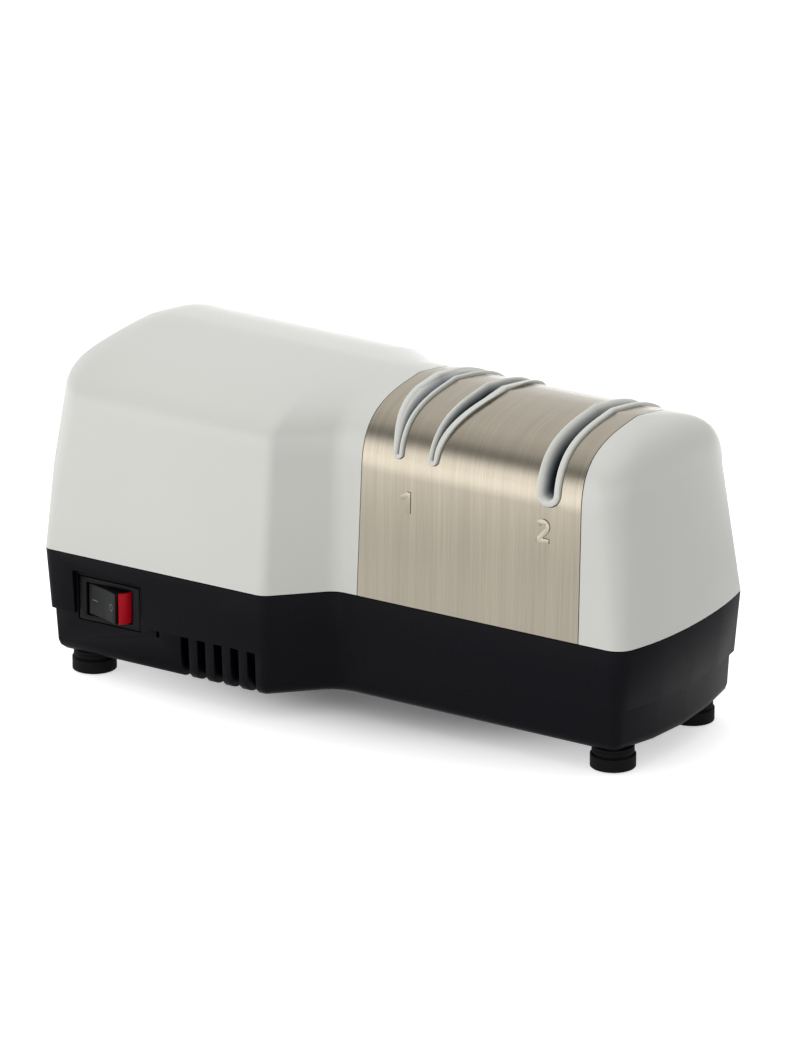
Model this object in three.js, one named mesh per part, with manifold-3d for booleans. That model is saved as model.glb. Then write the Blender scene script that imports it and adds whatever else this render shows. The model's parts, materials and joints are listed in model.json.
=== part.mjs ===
// Electric knife sharpener: a motor-driven first stage and a hand-pulled second stage.
// Millimetres, +Z up. The motor end is towards -X and the switch side faces -Y.
// The origin lies on the resting surface, under the middle of the body.

import * as THREE from 'three';
import { mergeVertices } from 'three/addons/utils/BufferGeometryUtils.js';
import Module from 'manifold-3d';

const wasm = await Module();
wasm.setup();

// Clearances and cutting allowance
const SEAT_GAP = 0.3;
const RUNNING_GAP = 0.5;
const OVERRUN = 4;

// Body outline at the seam between housing and base
const LENGTH = 213;
const MOTOR_WIDTH = 106.4;
const HEAD_WIDTH = 72.4;
const WAIST_SHARE = 0.4474;
const WAIST_LENGTH = 16.5;
const WAIST_OUTER_RADIUS = 6;
const WAIST_INNER_RADIUS = 8;
const LEFT_CORNER_RADIUS = 3.5;
const RIGHT_FRONT_RADIUS = 7;
const RIGHT_BACK_RADIUS = 4.5;
const LEFT_BOW = 2;
const RIGHT_FRONT_BOW = 5.6;
const RIGHT_BACK_BOW = 4.2;
const SEAM_HEIGHT = 42.6;
const WALL = 2.5;

// Base tray
const BASE_BOTTOM = 7.6;
const BASE_SETBACK = 1.4;
const LEDGE_HEIGHT = 22;
const LEDGE_DEPTH = 1.2;
const LOWER_SETBACK = 0.5;
const BOTTOM_RADIUS = 3.5;
const TONGUE_HEIGHT = 3;
const TONGUE_THICKNESS = 1.2;
const TONGUE_CLEARANCE = 1;

// Housing above the seam
const MOTOR_TOP = 109.6;
const ROOF_DROP = 2.7;
const MOTOR_SHOULDER_DROP = 21.6;
const HEAD_SHOULDER_DROP = 25.6;
const LEFT_SHOULDER_DROP = 12.6;
const RIGHT_SHOULDER_DROP = 21.6;
const CROWN_HEIGHT = 0.9;
const MOTOR_FRONT_SETBACK = 4.6;
const MOTOR_BACK_SETBACK = 8;
const HEAD_FRONT_SETBACK = 1;
const HEAD_BACK_SETBACK = 5;
const LEFT_SETBACK = 2.8;
const LEFT_BULGE = 0.9;
const BULGE_RISE_SHARE = 0.55;
const RIGHT_SETBACK = 3.4;
const LEFT_SHOULDER_RADIUS = 9;
const RIGHT_SHOULDER_RADIUS = 11;
const RIDGE_FRONT = 10.5;
const RIDGE_BACK = 4;
const SPINE_OFFSET = 3;
const RIDGE_LEFT_MARGIN = 10;
const RIDGE_RIGHT_MARGIN = 15.5;
const RIDGE_CORNER_RADIUS = 6;
const RIDGE_BOW = 2;
const MOTOR_FULLNESS_SHARE = 0.64;
const HEAD_FULLNESS_SHARE = 0.68;
const MOTOR_TOP_FALL_SHARE = 0.137;
const HEAD_TOP_FALL_SHARE = 0.125;
const ROOF_POWER = 2.5;

// Steel cover over the head
const COVER_THICKNESS = 0.6;
const COVER_LEFT_MARGIN = 7.5;
const COVER_RIGHT_MARGIN = 7.4;
const COVER_EDGE_SHIFT = 2;
const COVER_REAR = 12.5;

// Knife slots
const FIRST_STAGE_SHARE = 0.6211;
const SLOT_SPACING = 9.4;
const SLOT_LIP = 1;
const LIP_WIDTH = 1.2;
const SLOT_FOOT_WIDTH = 3.3;
const SLOT_FLARE_WIDTH = 5.4;
const SLOT_FLARE_POWER = 2;
const SLOT_LEAN_WIDTH = 0.6;
const SLIT_SHOULDER = 1.2;
const FINE_SLOT_WIDTH = 8.2;
const FINE_LIP_WIDTH = 2;

// Feet
const FOOT_INSET_LEFT = 13;
const FOOT_INSET_RIGHT = 15;
const FOOT_INSET_SIDE = 12.2;
const FOOT_RADIUS = 7.2;
const FOOT_RIM_HEIGHT = 4.4;
const FOOT_GROOVE_RADIUS = 6.2;
const FOOT_GROOVE_HEIGHT = 0.8;
const FOOT_COLLAR_RADIUS = 6.7;
const FOOT_EDGE = 0.5;
const FOOT_PEG_RADIUS = 2.6;
const FOOT_PEG_LENGTH = 2;

// Cooling vents
const VENT_COUNT = 5;
const VENT_WAIST_REACH = 14.5;
const VENT_PITCH = 6.37;
const VENT_WIDTH = 3.1;
const VENT_REACH = 7;
const NOTCH_REACH = 4.5;
const NOTCH_WIDTH = 1.1;
const NOTCH_HEIGHT = 2.4;
const NOTCH_DEPTH = 1.2;

// Rocker switch
const SWITCH_INSET = 26.2;
const SWITCH_DROP = 15.1;
const BEZEL_SIDE_RIM = 1.9;
const BEZEL_TOP_RIM = 0.8;
const BEZEL_THICKNESS = 1.6;
const RECESS_LEFT_MARGIN = 1;
const RECESS_RIGHT_MARGIN = 2.5;
const RECESS_TOP_MARGIN = 2.2;
const SWITCH_WALL = 1;
const SWITCH_BODY_DEPTH = 17;
const SWITCH_WELL_WALL = 2;
const ROCKER_HALF_LENGTH = 7.05;
const ROCKER_REACH = 4.6;
const ROCKER_DISH = 0.5;
const ROCKER_HEIGHT = 10.4;
const ROCKER_TILT = 18;
const ROCKER_SINK = 0.3;
const FLANK_THICKNESS = 0.8;
const TERMINAL_WIDTH = 6.3;
const TERMINAL_THICKNESS = 0.8;
const TERMINAL_LENGTH = 7.5;
const TERMINAL_SPACING = 9;

// Cord inlet at the back
const INLET_INSET = 30.5;
const INLET_DROP = 13.6;
const INLET_BORE = 6.6;
const INLET_NECK = 10;
const INLET_FLANGE = 14;
const INLET_FLANGE_THICKNESS = 1.8;

// Drive line
const SHAFT_RISE_SHARE = 0.548;
const SHAFT_RADIUS = 3;
const SHAFT_LEFT_OVERHANG = 7.2;
const SHAFT_RIGHT_OVERHANG = 2;
const STACK_INSET = 55.5;
const STACK_LENGTH = 30;
const STACK_WIDTH = 62;
const POLE_ABOVE = 4.5;
const POLE_BELOW = 5.5;
const YOKE_HEIGHT = 10;
const STACK_CORNER = 5;
const WINDOW_HALF_WIDTH = 18;
const COIL_ROOM = 4.9;
const ROTOR_RADIUS = 14;
const ROTOR_OVERHANG = 2;
const COIL_THICKNESS = 6.5;
const BRIDGE_THICKNESS = 2;
const BRIDGE_HEIGHT = 16;
const BRIDGE_EDGE = 4;
const BRIDGE_SHELF = 13;
const BRIDGE_DEPTH = 13;
const BEARING_RADIUS = 6;
const BEARING_LENGTH = 7;
const MOTOR_SCREW_RADIUS = 2;
const MOTOR_SCREW_HEAD = 3.6;
const FAN_CLEARANCE = 0.7;
const FAN_RADIUS = 25;
const FAN_HUB_RADIUS = 7;
const FAN_WIDTH = 9;
const FAN_BLADES = 9;
const FAN_PLATE = 1.2;

// First stage: two sprung abrasive discs
const DISC_RADIUS = 21.5;
const DISC_THICKNESS = 2.2;
const DISC_CONE = 0.6;
const DISC_HUB_RADIUS = 7.5;
const DISC_HUB_LENGTH = 3.5;
const DISC_PROUD = 0.4;
const DISC_RISE = 1.5;
const DRIVE_PIN_RADIUS = 0.8;
const DRIVE_PIN_LENGTH = 13;
const SPRING_WIRE = 0.7;
const SPRING_TURNS = 4;
const PEDESTAL_CLEARANCE = 1.2;
const PEDESTAL_THICKNESS = 4;
const PEDESTAL_WIDTH = 28;
const PEDESTAL_FOOT = 12;

// Second stage: two fine wheels forming a groove
const FINE_LIFT = 10;
const FINE_RISE = 8.4;
const FINE_RADIUS = 13;
const FINE_HUB_RADIUS = 5;
const FINE_GROOVE = 2.2;
const FINE_THICKNESS = 2.4;
const FINE_NOSE = 0.3;
const FINE_AXLE_RADIUS = 2;
const FINE_SPAN = 17;
const CARRIER_WALL = 2.4;
const CARRIER_WIDTH = 22;
const CARRIER_CLEARANCE = 3.7;

// Filings magnet, screws and bosses
const MAGNET_LENGTH = 26;
const MAGNET_WIDTH = 14;
const MAGNET_THICKNESS = 4;
const SCREW_RADIUS = 1.8;
const SCREW_HEAD_RADIUS = 3.4;
const SCREW_HEAD_HEIGHT = 2.2;
const SCREW_BITE = 16;
const BOSS_WALL = 0.5;
const BOSS_RADIUS = SCREW_HEAD_RADIUS + SEAT_GAP + BOSS_WALL;
const MOTOR_BOSS_INSET = 12;
const MOTOR_BOSS_Y = 24;
const HEAD_BOSS_INSET = 13.5;
const HEAD_BOSS_Y = 9;

// Places along the body, counted from its ends
const LEFT_END = -LENGTH / 2;
const RIGHT_END = LENGTH / 2;
const WAIST_X = LEFT_END + LENGTH * WAIST_SHARE;
const FIRST_STAGE_X = LEFT_END + LENGTH * FIRST_STAGE_SHARE;
const MOTOR_BOSS_X = LEFT_END + MOTOR_BOSS_INSET;
const HEAD_BOSS_X = RIGHT_END - HEAD_BOSS_INSET;
const SECOND_STAGE_X = HEAD_BOSS_X - BOSS_RADIUS - CARRIER_CLEARANCE - CARRIER_WALL - FINE_SPAN / 2;
const SWITCH_X = LEFT_END + SWITCH_INSET;
const INLET_X = LEFT_END + INLET_INSET;
const STACK_X = LEFT_END + STACK_INSET;
const OUTBOARD_X = FIRST_STAGE_X + MAGNET_WIDTH / 2 + WALL + PEDESTAL_CLEARANCE + PEDESTAL_FOOT / 2;

// Heights over the resting surface
const HEAD_TOP = MOTOR_TOP - ROOF_DROP;
const SWITCH_HEIGHT = SEAM_HEIGHT - SWITCH_DROP;
const INLET_HEIGHT = SEAM_HEIGHT - INLET_DROP;
const SHAFT_HEIGHT = LEDGE_HEIGHT + (MOTOR_TOP - LEDGE_HEIGHT) * SHAFT_RISE_SHARE;
const SLOT_FLOOR = SHAFT_HEIGHT + DISC_RADIUS - DISC_RISE;
const FINE_HEIGHT = SHAFT_HEIGHT + FINE_LIFT;
const FINE_SLOT_FLOOR = FINE_HEIGHT + FINE_RADIUS - FINE_RISE;

// Number of steps along each stretch of the outline and of the curves
const END_STEPS = 2;
const CORNER_STEPS = 4;
const MOTOR_STEPS = 2;
const FILLET_STEPS = 3;
const HEAD_STEPS = 4;
const SHOULDER_STEPS = 6;
const BOTTOM_STEPS = 3;
const ROUND_STEPS = 18;
const SMALL_ROUND_STEPS = 12;

const HALF_TURN = Math.PI;
const QUARTER_TURN = Math.PI / 2;

// Solid geometry helpers

function solid(geometry) {
  const bare = geometry.clone();
  bare.deleteAttribute('normal');
  bare.deleteAttribute('uv');
  const merged = mergeVertices(bare);
  const index = merged.index.array;
  const kept = [];
  for (let i = 0; i < index.length; i += 3) {
    const [a, b, c] = [index[i], index[i + 1], index[i + 2]];
    if (a !== b && b !== c && c !== a) kept.push(a, b, c);
  }
  return new wasm.Manifold(new wasm.Mesh({
    numProp: 3,
    vertProperties: Float32Array.from(merged.attributes.position.array),
    triVerts: Uint32Array.from(kept),
  }));
}

function geometryOf(manifold) {
  const mesh = manifold.getMesh();
  const geometry = new THREE.BufferGeometry();
  geometry.setAttribute('position', new THREE.BufferAttribute(Float32Array.from(mesh.vertProperties), 3));
  geometry.setIndex(new THREE.BufferAttribute(Uint32Array.from(mesh.triVerts), 1));
  return geometry;
}

const join = (first, ...others) => others.reduce((sum, other) => sum.add(other), first);
const cut = (first, ...others) => others.reduce((rest, other) => rest.subtract(other), first);

// The two ends of a stretch about its middle
const around = (middle, size, gap = 0) => [middle - size / 2 - gap, middle + size / 2 + gap];

function block([left, right], [front, back], [bottom, top]) {
  const geometry = new THREE.BoxGeometry(right - left, back - front, top - bottom);
  geometry.translate((left + right) / 2, (front + back) / 2, (bottom + top) / 2);
  return solid(geometry);
}

// A full turn of a profile of [radius, distance] points about the Z axis, moved onto its own axis
function turned(profile, axis, centre, steps = ROUND_STEPS) {
  const points = profile.map(([radius, along]) => new THREE.Vector2(radius, along));
  const geometry = new THREE.LatheGeometry(points, steps);
  if (axis === 'x') geometry.rotateZ(-QUARTER_TURN);
  if (axis === 'z') geometry.rotateX(QUARTER_TURN);
  geometry.translate(...centre);
  return solid(geometry);
}

// A plain round bar between two places on its axis
function bar(radius, [from, to], axis, [u, v], steps = ROUND_STEPS) {
  const centre = { x: [0, u, v], y: [u, 0, v], z: [u, v, 0] }[axis];
  return turned([[0, from], [radius, from], [radius, to], [0, to]], axis, centre, steps);
}

// A tube along the X axis or along the Z axis
function tube(outer, inner, [from, to], axis, centre, steps = ROUND_STEPS) {
  return turned([[inner, from], [outer, from], [outer, to], [inner, to], [inner, from]], axis, centre, steps);
}

function shapeOf(points) {
  return new THREE.Shape(points.map(([u, v]) => new THREE.Vector2(u, v)));
}

// An outline in X and Z pushed along Y
function acrossY(points, [front, back]) {
  const geometry = new THREE.ExtrudeGeometry(shapeOf(points), { depth: back - front, bevelEnabled: false });
  geometry.rotateX(QUARTER_TURN);
  geometry.translate(0, back, 0);
  return solid(geometry);
}

// An outline in X and Y pushed up along Z
function upZ(points, [bottom, top]) {
  const geometry = new THREE.ExtrudeGeometry(shapeOf(points), { depth: top - bottom, bevelEnabled: false });
  geometry.translate(0, 0, bottom);
  return solid(geometry);
}

// An outline in Y and Z pushed along X
function alongX(points, [left, right]) {
  const geometry = new THREE.ExtrudeGeometry(shapeOf(points), { depth: right - left, bevelEnabled: false });
  geometry.rotateX(QUARTER_TURN);
  geometry.rotateZ(QUARTER_TURN);
  geometry.translate(left, 0, 0);
  return solid(geometry);
}

// A closed skin through matching rings, from the lowest to the highest
function loft(rings, closedTop = false) {
  const count = rings[0].length;
  const position = rings.flat().flatMap((point) => [point.x, point.y, point.z]);
  const index = [];
  for (let ring = 0; ring + 1 < rings.length; ring += 1) {
    for (let i = 0; i < count; i += 1) {
      const a = ring * count + i;
      const b = ring * count + (i + 1) % count;
      index.push(a, b, b + count, a, b + count, a + count);
    }
  }
  const flat = (ring) => ring.map((point) => new THREE.Vector2(point.x, point.y));
  for (const [a, b, c] of THREE.ShapeUtils.triangulateShape(flat(rings[0]), [])) index.push(a, c, b);
  if (!closedTop) {
    const first = (rings.length - 1) * count;
    for (const [a, b, c] of THREE.ShapeUtils.triangulateShape(flat(rings.at(-1)), [])) {
      index.push(first + a, first + b, first + c);
    }
  }
  const geometry = new THREE.BufferGeometry();
  geometry.setAttribute('position', new THREE.Float32BufferAttribute(position, 3));
  geometry.setIndex(index);
  return solid(geometry);
}

// Body outline

const smooth = (t) => t * t * (3 - 2 * t);
const limit = (t) => Math.min(1, Math.max(0, t));
const { lerp } = THREE.MathUtils;

// The round that takes a path from one direction to the next at a corner
function fillet(corner, before, after, radius, steps) {
  const turn = Math.acos(before.dot(after));
  const side = Math.sign(before.cross(after));
  const reach = radius * Math.tan(turn / 2);
  const start = corner.clone().addScaledVector(before, -reach);
  const centre = start.clone().add(new THREE.Vector2(-before.y, before.x).multiplyScalar(side * radius));
  return Array.from({ length: steps + 1 }, (_, i) =>
    start.clone().rotateAround(centre, side * turn * i / steps));
}

function between(from, to, steps) {
  return Array.from({ length: steps - 1 }, (_, i) => from.clone().lerp(to, (i + 1) / steps));
}

// A bowed end from its middle to the corner round that meets the side, running towards -Y
function bowedEnd(middle, half, bow, radius) {
  const outward = Math.sign(middle);
  const corner = new THREE.Vector2(middle - outward * bow, -half);
  const down = new THREE.Vector2(-outward * 2 * bow, -half).normalize();
  const along = new THREE.Vector2(-outward, 0);
  const round = fillet(corner, down, along, radius, CORNER_STEPS);
  const start = new THREE.Vector2(middle, 0);
  const pull = new THREE.Vector2(middle, round[0].y + (middle - round[0].x) * down.y / down.x);
  const bowLine = new THREE.QuadraticBezierCurve(start, pull, round[0]).getPoints(END_STEPS);
  return [...bowLine.slice(0, -1), ...round];
}

// What differs between the two long sides: ends, setbacks at the shoulder and the roof's flat band
const FRONT = {
  rightRadius: RIGHT_FRONT_RADIUS, rightBow: RIGHT_FRONT_BOW, motorSetback: MOTOR_FRONT_SETBACK,
  headSetback: HEAD_FRONT_SETBACK, ridge: RIDGE_FRONT,
};
const BACK = {
  rightRadius: RIGHT_BACK_RADIUS, rightBow: RIGHT_BACK_BOW, motorSetback: MOTOR_BACK_SETBACK,
  headSetback: HEAD_BACK_SETBACK, ridge: RIDGE_BACK,
};

// Named sizes of one side's plan outline; the rise is 0 at the seam and 1 at the shoulder
function planSizes(inset, side, rise = 0) {
  const turn = Math.atan2((MOTOR_WIDTH - HEAD_WIDTH) / 2, WAIST_LENGTH);
  const shift = inset * Math.tan(turn / 2);
  const leftRadius = lerp(LEFT_CORNER_RADIUS, LEFT_SHOULDER_RADIUS, rise);
  const rightRadius = lerp(side.rightRadius, RIGHT_SHOULDER_RADIUS, rise);
  return {
    left: LEFT_END + inset + LEFT_SETBACK * rise,
    right: RIGHT_END - inset - RIGHT_SETBACK * rise,
    motorHalf: MOTOR_WIDTH / 2 - inset - side.motorSetback * rise,
    headHalf: HEAD_WIDTH / 2 - inset - side.headSetback * rise,
    rightBow: side.rightBow,
    waistStart: WAIST_X - WAIST_LENGTH / 2 - shift,
    waistEnd: WAIST_X + WAIST_LENGTH / 2 - shift,
    leftRadius: Math.max(leftRadius - inset, leftRadius / 4),
    rightRadius: Math.max(rightRadius - inset, rightRadius / 4),
    waistOuter: Math.max(WAIST_OUTER_RADIUS - inset, WAIST_OUTER_RADIUS / 4),
    waistInner: WAIST_INNER_RADIUS + inset,
  };
}

// The side path between the two end corners, with its waist
function sidePath(sizes, from, to) {
  const outer = new THREE.Vector2(sizes.waistStart, -sizes.motorHalf);
  const inner = new THREE.Vector2(sizes.waistEnd, -sizes.headHalf);
  const ahead = new THREE.Vector2(1, 0);
  const slope = inner.clone().sub(outer).normalize();
  const first = fillet(outer, ahead, slope, sizes.waistOuter, FILLET_STEPS);
  const second = fillet(inner, slope, ahead, sizes.waistInner, FILLET_STEPS);
  return [
    ...between(from, first[0], MOTOR_STEPS), ...first, ...second,
    ...between(second.at(-1), to, HEAD_STEPS),
  ];
}

// One long side, from the motor end's middle to the head end's middle, always drawn towards -Y
function halfOutline(sizes) {
  const leftEnd = bowedEnd(sizes.left, sizes.motorHalf, LEFT_BOW, sizes.leftRadius);
  const rightEnd = bowedEnd(sizes.right, sizes.headHalf, sizes.rightBow, sizes.rightRadius).reverse();
  return { leftEnd, side: sidePath(sizes, leftEnd.at(-1), rightEnd[0]), rightEnd };
}

const flatten = ({ leftEnd, side, rightEnd }) => [...leftEnd, ...side, ...rightEnd];

// A closed ring from the front half and the back half, which is turned over to +Y
function ringOf(front, back) {
  return [...front, ...back.slice(1, -1).reverse().map((point) => point.clone().setY(-point.y))];
}

const raised = (path, height) => path.map((point) => new THREE.Vector3(point.x, point.y, height));

// A level ring of the body at one inset
function planRing(inset, height) {
  const half = (side) => raised(flatten(halfOutline(planSizes(inset, side))), height);
  return ringOf(half(FRONT), half(BACK));
}

// The ring part of the way up to the shoulder, where the motor end bulges
function bulgeRing(inset, shoulder) {
  const half = (side, row) => {
    const sizes = planSizes(inset, side, BULGE_RISE_SHARE);
    const path = flatten(halfOutline({ ...sizes, left: sizes.left - LEFT_BULGE }));
    return path.map((point, i) =>
      new THREE.Vector3(point.x, point.y, lerp(SEAM_HEIGHT, row[i].z, BULGE_RISE_SHARE)));
  };
  return ringOf(half(FRONT, shoulder.front), half(BACK, shoulder.back));
}

// Ridge line of the roof: level up to the ridge's corner round, then falling towards the head
function roofHeight(x) {
  const from = LEFT_END + RIDGE_LEFT_MARGIN + RIDGE_CORNER_RADIUS;
  const share = limit((RIGHT_END - x) / (RIGHT_END - from));
  return HEAD_TOP + (MOTOR_TOP - HEAD_TOP) * share ** ROOF_POWER;
}

// How far a place belongs to the motor section: 1 there, 0 along the head
function motorShareAt(x) {
  const start = WAIST_X - WAIST_LENGTH;
  const end = WAIST_X + WAIST_LENGTH * 2;
  return 1 - smooth(limit((x - start) / (end - start)));
}

// One side of the flat band along the roof, point for point with the seam outline
function ridgePath(side, seam) {
  const left = LEFT_END + RIDGE_LEFT_MARGIN;
  const right = RIGHT_END - RIDGE_RIGHT_MARGIN;
  const radius = Math.min(RIDGE_CORNER_RADIUS, side.ridge / 2);
  const leftEnd = bowedEnd(left, side.ridge, RIDGE_BOW, radius);
  const rightEnd = bowedEnd(right, side.ridge, RIDGE_BOW, radius).reverse();
  const start = seam.leftEnd.at(-1).x;
  const length = seam.rightEnd[0].x - start;
  const along = seam.side.map((point) => new THREE.Vector2(
    lerp(leftEnd.at(-1).x, rightEnd[0].x, (point.x - start) / length), -side.ridge));
  return { leftEnd, side: along, rightEnd };
}

// The middle line of the roof, point for point with the outline; each end fans out from its last point
function spinePath({ leftEnd, side, rightEnd }) {
  return [
    ...leftEnd.map(() => leftEnd.at(-1).x),
    ...side.map((point) => point.x),
    ...rightEnd.map(() => rightEnd[0].x),
  ];
}

const SEAM = halfOutline(planSizes(0, FRONT));
const SEAM_PATH = flatten(SEAM);
const SPINE_XS = spinePath(ridgePath(FRONT, SEAM));

// The rows of one side of the housing, from the shoulder up to the flat band of the roof
function shoulderRows(inset, side) {
  const wall = halfOutline(planSizes(inset, side, 1));
  const path = flatten(wall);
  const ridge = flatten(ridgePath(side, SEAM));
  const lastLeft = wall.leftEnd.length - 1;
  const firstRight = path.length - wall.rightEnd.length;
  const curves = path.map((foot, i) => {
    const motorShare = motorShareAt(SEAM_PATH[i].x);
    const leftShare = limit(1 - i / lastLeft);
    const rightShare = limit((i - firstRight) / (path.length - 1 - firstRight));
    const ends = LEFT_SHOULDER_DROP * leftShare + RIGHT_SHOULDER_DROP * rightShare;
    const sideDrop = lerp(HEAD_SHOULDER_DROP, MOTOR_SHOULDER_DROP, motorShare);
    const low = MOTOR_TOP - ends - sideDrop * (1 - leftShare - rightShare) - inset / 2;
    const high = roofHeight(ridge[i].x) - CROWN_HEIGHT - inset;
    const full = lerp(HEAD_FULLNESS_SHARE, MOTOR_FULLNESS_SHARE, motorShare);
    const start = new THREE.Vector3(foot.x, foot.y, low);
    const end = new THREE.Vector3(ridge[i].x, ridge[i].y, high);
    const rise = start.clone().setZ(lerp(low, high, full));
    const reach = Math.hypot(end.x - start.x, end.y - start.y) * full;
    const fall = lerp(HEAD_TOP_FALL_SHARE, MOTOR_TOP_FALL_SHARE, motorShare) * reach;
    const run = end.clone().lerp(start, full).setZ(high - fall);
    return new THREE.CubicBezierCurve3(start, rise, run, end);
  });
  return Array.from({ length: SHOULDER_STEPS + 1 }, (_, step) =>
    curves.map((curve) => curve.getPoint(step / SHOULDER_STEPS)));
}

// The housing's outside moved inwards by an inset, upright below the seam and up to the roof
function housingSolid(inset, floor) {
  const front = shoulderRows(inset, FRONT);
  const back = shoulderRows(inset, BACK);
  const spine = (offset) => SPINE_XS.map((x) => new THREE.Vector3(x, offset, roofHeight(x) - inset));
  return loft([
    ...(floor < SEAM_HEIGHT ? [planRing(inset, floor)] : []),
    planRing(inset, SEAM_HEIGHT),
    bulgeRing(inset, { front: front[0], back: back[0] }),
    ...front.map((row, i) => ringOf(row, back[i])),
    ringOf(spine(-SPINE_OFFSET), spine(SPINE_OFFSET)),
  ], true);
}

// The base's outside moved inwards by an inset
const LOWER_INSET = BASE_SETBACK + LEDGE_DEPTH;

function levels(pairs) {
  return loft(pairs.map(([inset, height]) => planRing(inset, height)));
}

function baseSolid() {
  const bottom = Array.from({ length: BOTTOM_STEPS + 1 }, (_, i) => {
    const angle = QUARTER_TURN * i / BOTTOM_STEPS;
    return [
      LOWER_INSET + LOWER_SETBACK + BOTTOM_RADIUS * (1 - Math.sin(angle)),
      BASE_BOTTOM + BOTTOM_RADIUS * (1 - Math.cos(angle)),
    ];
  });
  return levels([
    ...bottom,
    [LOWER_INSET, LEDGE_HEIGHT],
    [BASE_SETBACK, LEDGE_HEIGHT + LEDGE_DEPTH / 4],
    [0, SEAM_HEIGHT - SEAT_GAP],
  ]);
}

// Knife slot sections in X and Z

// A first-stage slot: nearly upright on the side of the discs, flared on the other side
function flaredSlot(outwards, inset, shoulder = 0) {
  const upright = FIRST_STAGE_X + outwards * (SLOT_SPACING / 2 + inset);
  const top = MOTOR_TOP;
  const depth = HEAD_TOP - SLOT_FLOOR;
  const flareSteps = 6;
  const flare = Array.from({ length: flareSteps + 1 }, (_, i) => {
    const share = i / flareSteps;
    const flared = SLOT_FOOT_WIDTH + SLOT_FLARE_WIDTH * share ** SLOT_FLARE_POWER;
    const reach = flared - shoulder * share - inset * 2;
    return [upright + outwards * reach, SLOT_FLOOR + inset + (depth - inset) * share];
  });
  const outer = flare.at(-1)[0];
  const leaning = upright + outwards * SLOT_LEAN_WIDTH;
  const points = [
    [leaning, top], [leaning, HEAD_TOP], [upright, SLOT_FLOOR + inset], ...flare, [outer, top],
  ];
  return outwards > 0 ? points : points.reverse();
}

// The second-stage slot: parallel sides and a round foot
function straightSlot(inset) {
  const radius = FINE_SLOT_WIDTH / 2 - inset;
  const centre = FINE_SLOT_FLOOR + FINE_SLOT_WIDTH / 2;
  const roundSteps = 6;
  const foot = Array.from({ length: roundSteps + 1 }, (_, i) => {
    const angle = HALF_TURN + HALF_TURN * i / roundSteps;
    return [SECOND_STAGE_X + radius * Math.cos(angle), centre + radius * Math.sin(angle)];
  });
  return [...foot, [SECOND_STAGE_X + radius, MOTOR_TOP], [SECOND_STAGE_X - radius, MOTOR_TOP]];
}

const THROUGH = [-MOTOR_WIDTH / 2, MOTOR_WIDTH / 2];
const OUTER = housingSolid(0, SEAM_HEIGHT);
const slotCuts = [
  acrossY(flaredSlot(-1, -SEAT_GAP), THROUGH),
  acrossY(flaredSlot(1, -SEAT_GAP), THROUGH),
  acrossY(straightSlot(-SEAT_GAP), THROUGH),
];

// The faces of the discs stand a little proud of the upright slot walls at the rim
const DISC_SETBACK = SLOT_SPACING / 2 + LIP_WIDTH + DISC_PROUD + DISC_CONE;

// Room in the slot floors for the discs and for the fine wheels
const DISC_ROOM = bar(DISC_RADIUS + RUNNING_GAP * 2,
  around(FIRST_STAGE_X, (DISC_SETBACK - DISC_CONE) * 2, RUNNING_GAP), 'x', [0, SHAFT_HEIGHT]);
const WHEEL_ROOM = bar(FINE_RADIUS + RUNNING_GAP,
  around(SECOND_STAGE_X, (FINE_NOSE + FINE_GROOVE + FINE_THICKNESS) * 2, RUNNING_GAP), 'x', [0, FINE_HEIGHT]);

function slotGuide(section, opening) {
  const proud = housingSolid(-SLOT_LIP, SEAM_HEIGHT);
  const trough = cut(acrossY(section, THROUGH), acrossY(opening, THROUGH.map((y) => y * 2)));
  return cut(trough.intersect(proud), DISC_ROOM, WHEEL_ROOM);
}

function firstGuide(outwards) {
  return slotGuide(flaredSlot(outwards, 0), flaredSlot(outwards, LIP_WIDTH, SLIT_SHOULDER));
}

// Steel cover and housing

function coverSpace(grow) {
  const left = FIRST_STAGE_X - SLOT_SPACING / 2 - SLOT_FOOT_WIDTH - SLOT_FLARE_WIDTH - COVER_LEFT_MARGIN;
  const right = SECOND_STAGE_X + FINE_SLOT_WIDTH / 2 + COVER_RIGHT_MARGIN;
  const top = MOTOR_TOP + OVERRUN;
  const lean = COVER_EDGE_SHIFT * (top - SEAM_HEIGHT) / (HEAD_TOP - SEAM_HEIGHT);
  return acrossY([
    [left - grow, SEAM_HEIGHT - OVERRUN],
    [right + grow, SEAM_HEIGHT - OVERRUN],
    [right + grow, top],
    [left + lean - grow, top],
  ], [-MOTOR_WIDTH, COVER_REAR + grow]);
}

const under = (thickness) => housingSolid(thickness, SEAM_HEIGHT - OVERRUN);

function steelCover() {
  return cut(OUTER.intersect(coverSpace(0)), under(COVER_THICKNESS), ...slotCuts);
}

const BOSSES = [
  [MOTOR_BOSS_X, -MOTOR_BOSS_Y], [MOTOR_BOSS_X, MOTOR_BOSS_Y],
  [HEAD_BOSS_X, -HEAD_BOSS_Y], [HEAD_BOSS_X, HEAD_BOSS_Y],
];

function topHousing() {
  const recess = cut(coverSpace(SEAT_GAP), under(COVER_THICKNESS + SEAT_GAP));
  const cavity = housingSolid(WALL, SEAM_HEIGHT - OVERRUN);
  const bite = [SEAM_HEIGHT - OVERRUN, SEAM_HEIGHT + SCREW_BITE];
  const posts = BOSSES.map((place) => cut(
    bar(BOSS_RADIUS, [SEAM_HEIGHT, MOTOR_TOP], 'z', place, SMALL_ROUND_STEPS),
    bar(SCREW_RADIUS + SEAT_GAP, bite, 'z', place, SMALL_ROUND_STEPS),
  ).intersect(OUTER));
  return cut(join(cut(OUTER, cavity), ...posts), recess, ...slotCuts);
}

// Base tray with its wells, bosses and cradles

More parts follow.
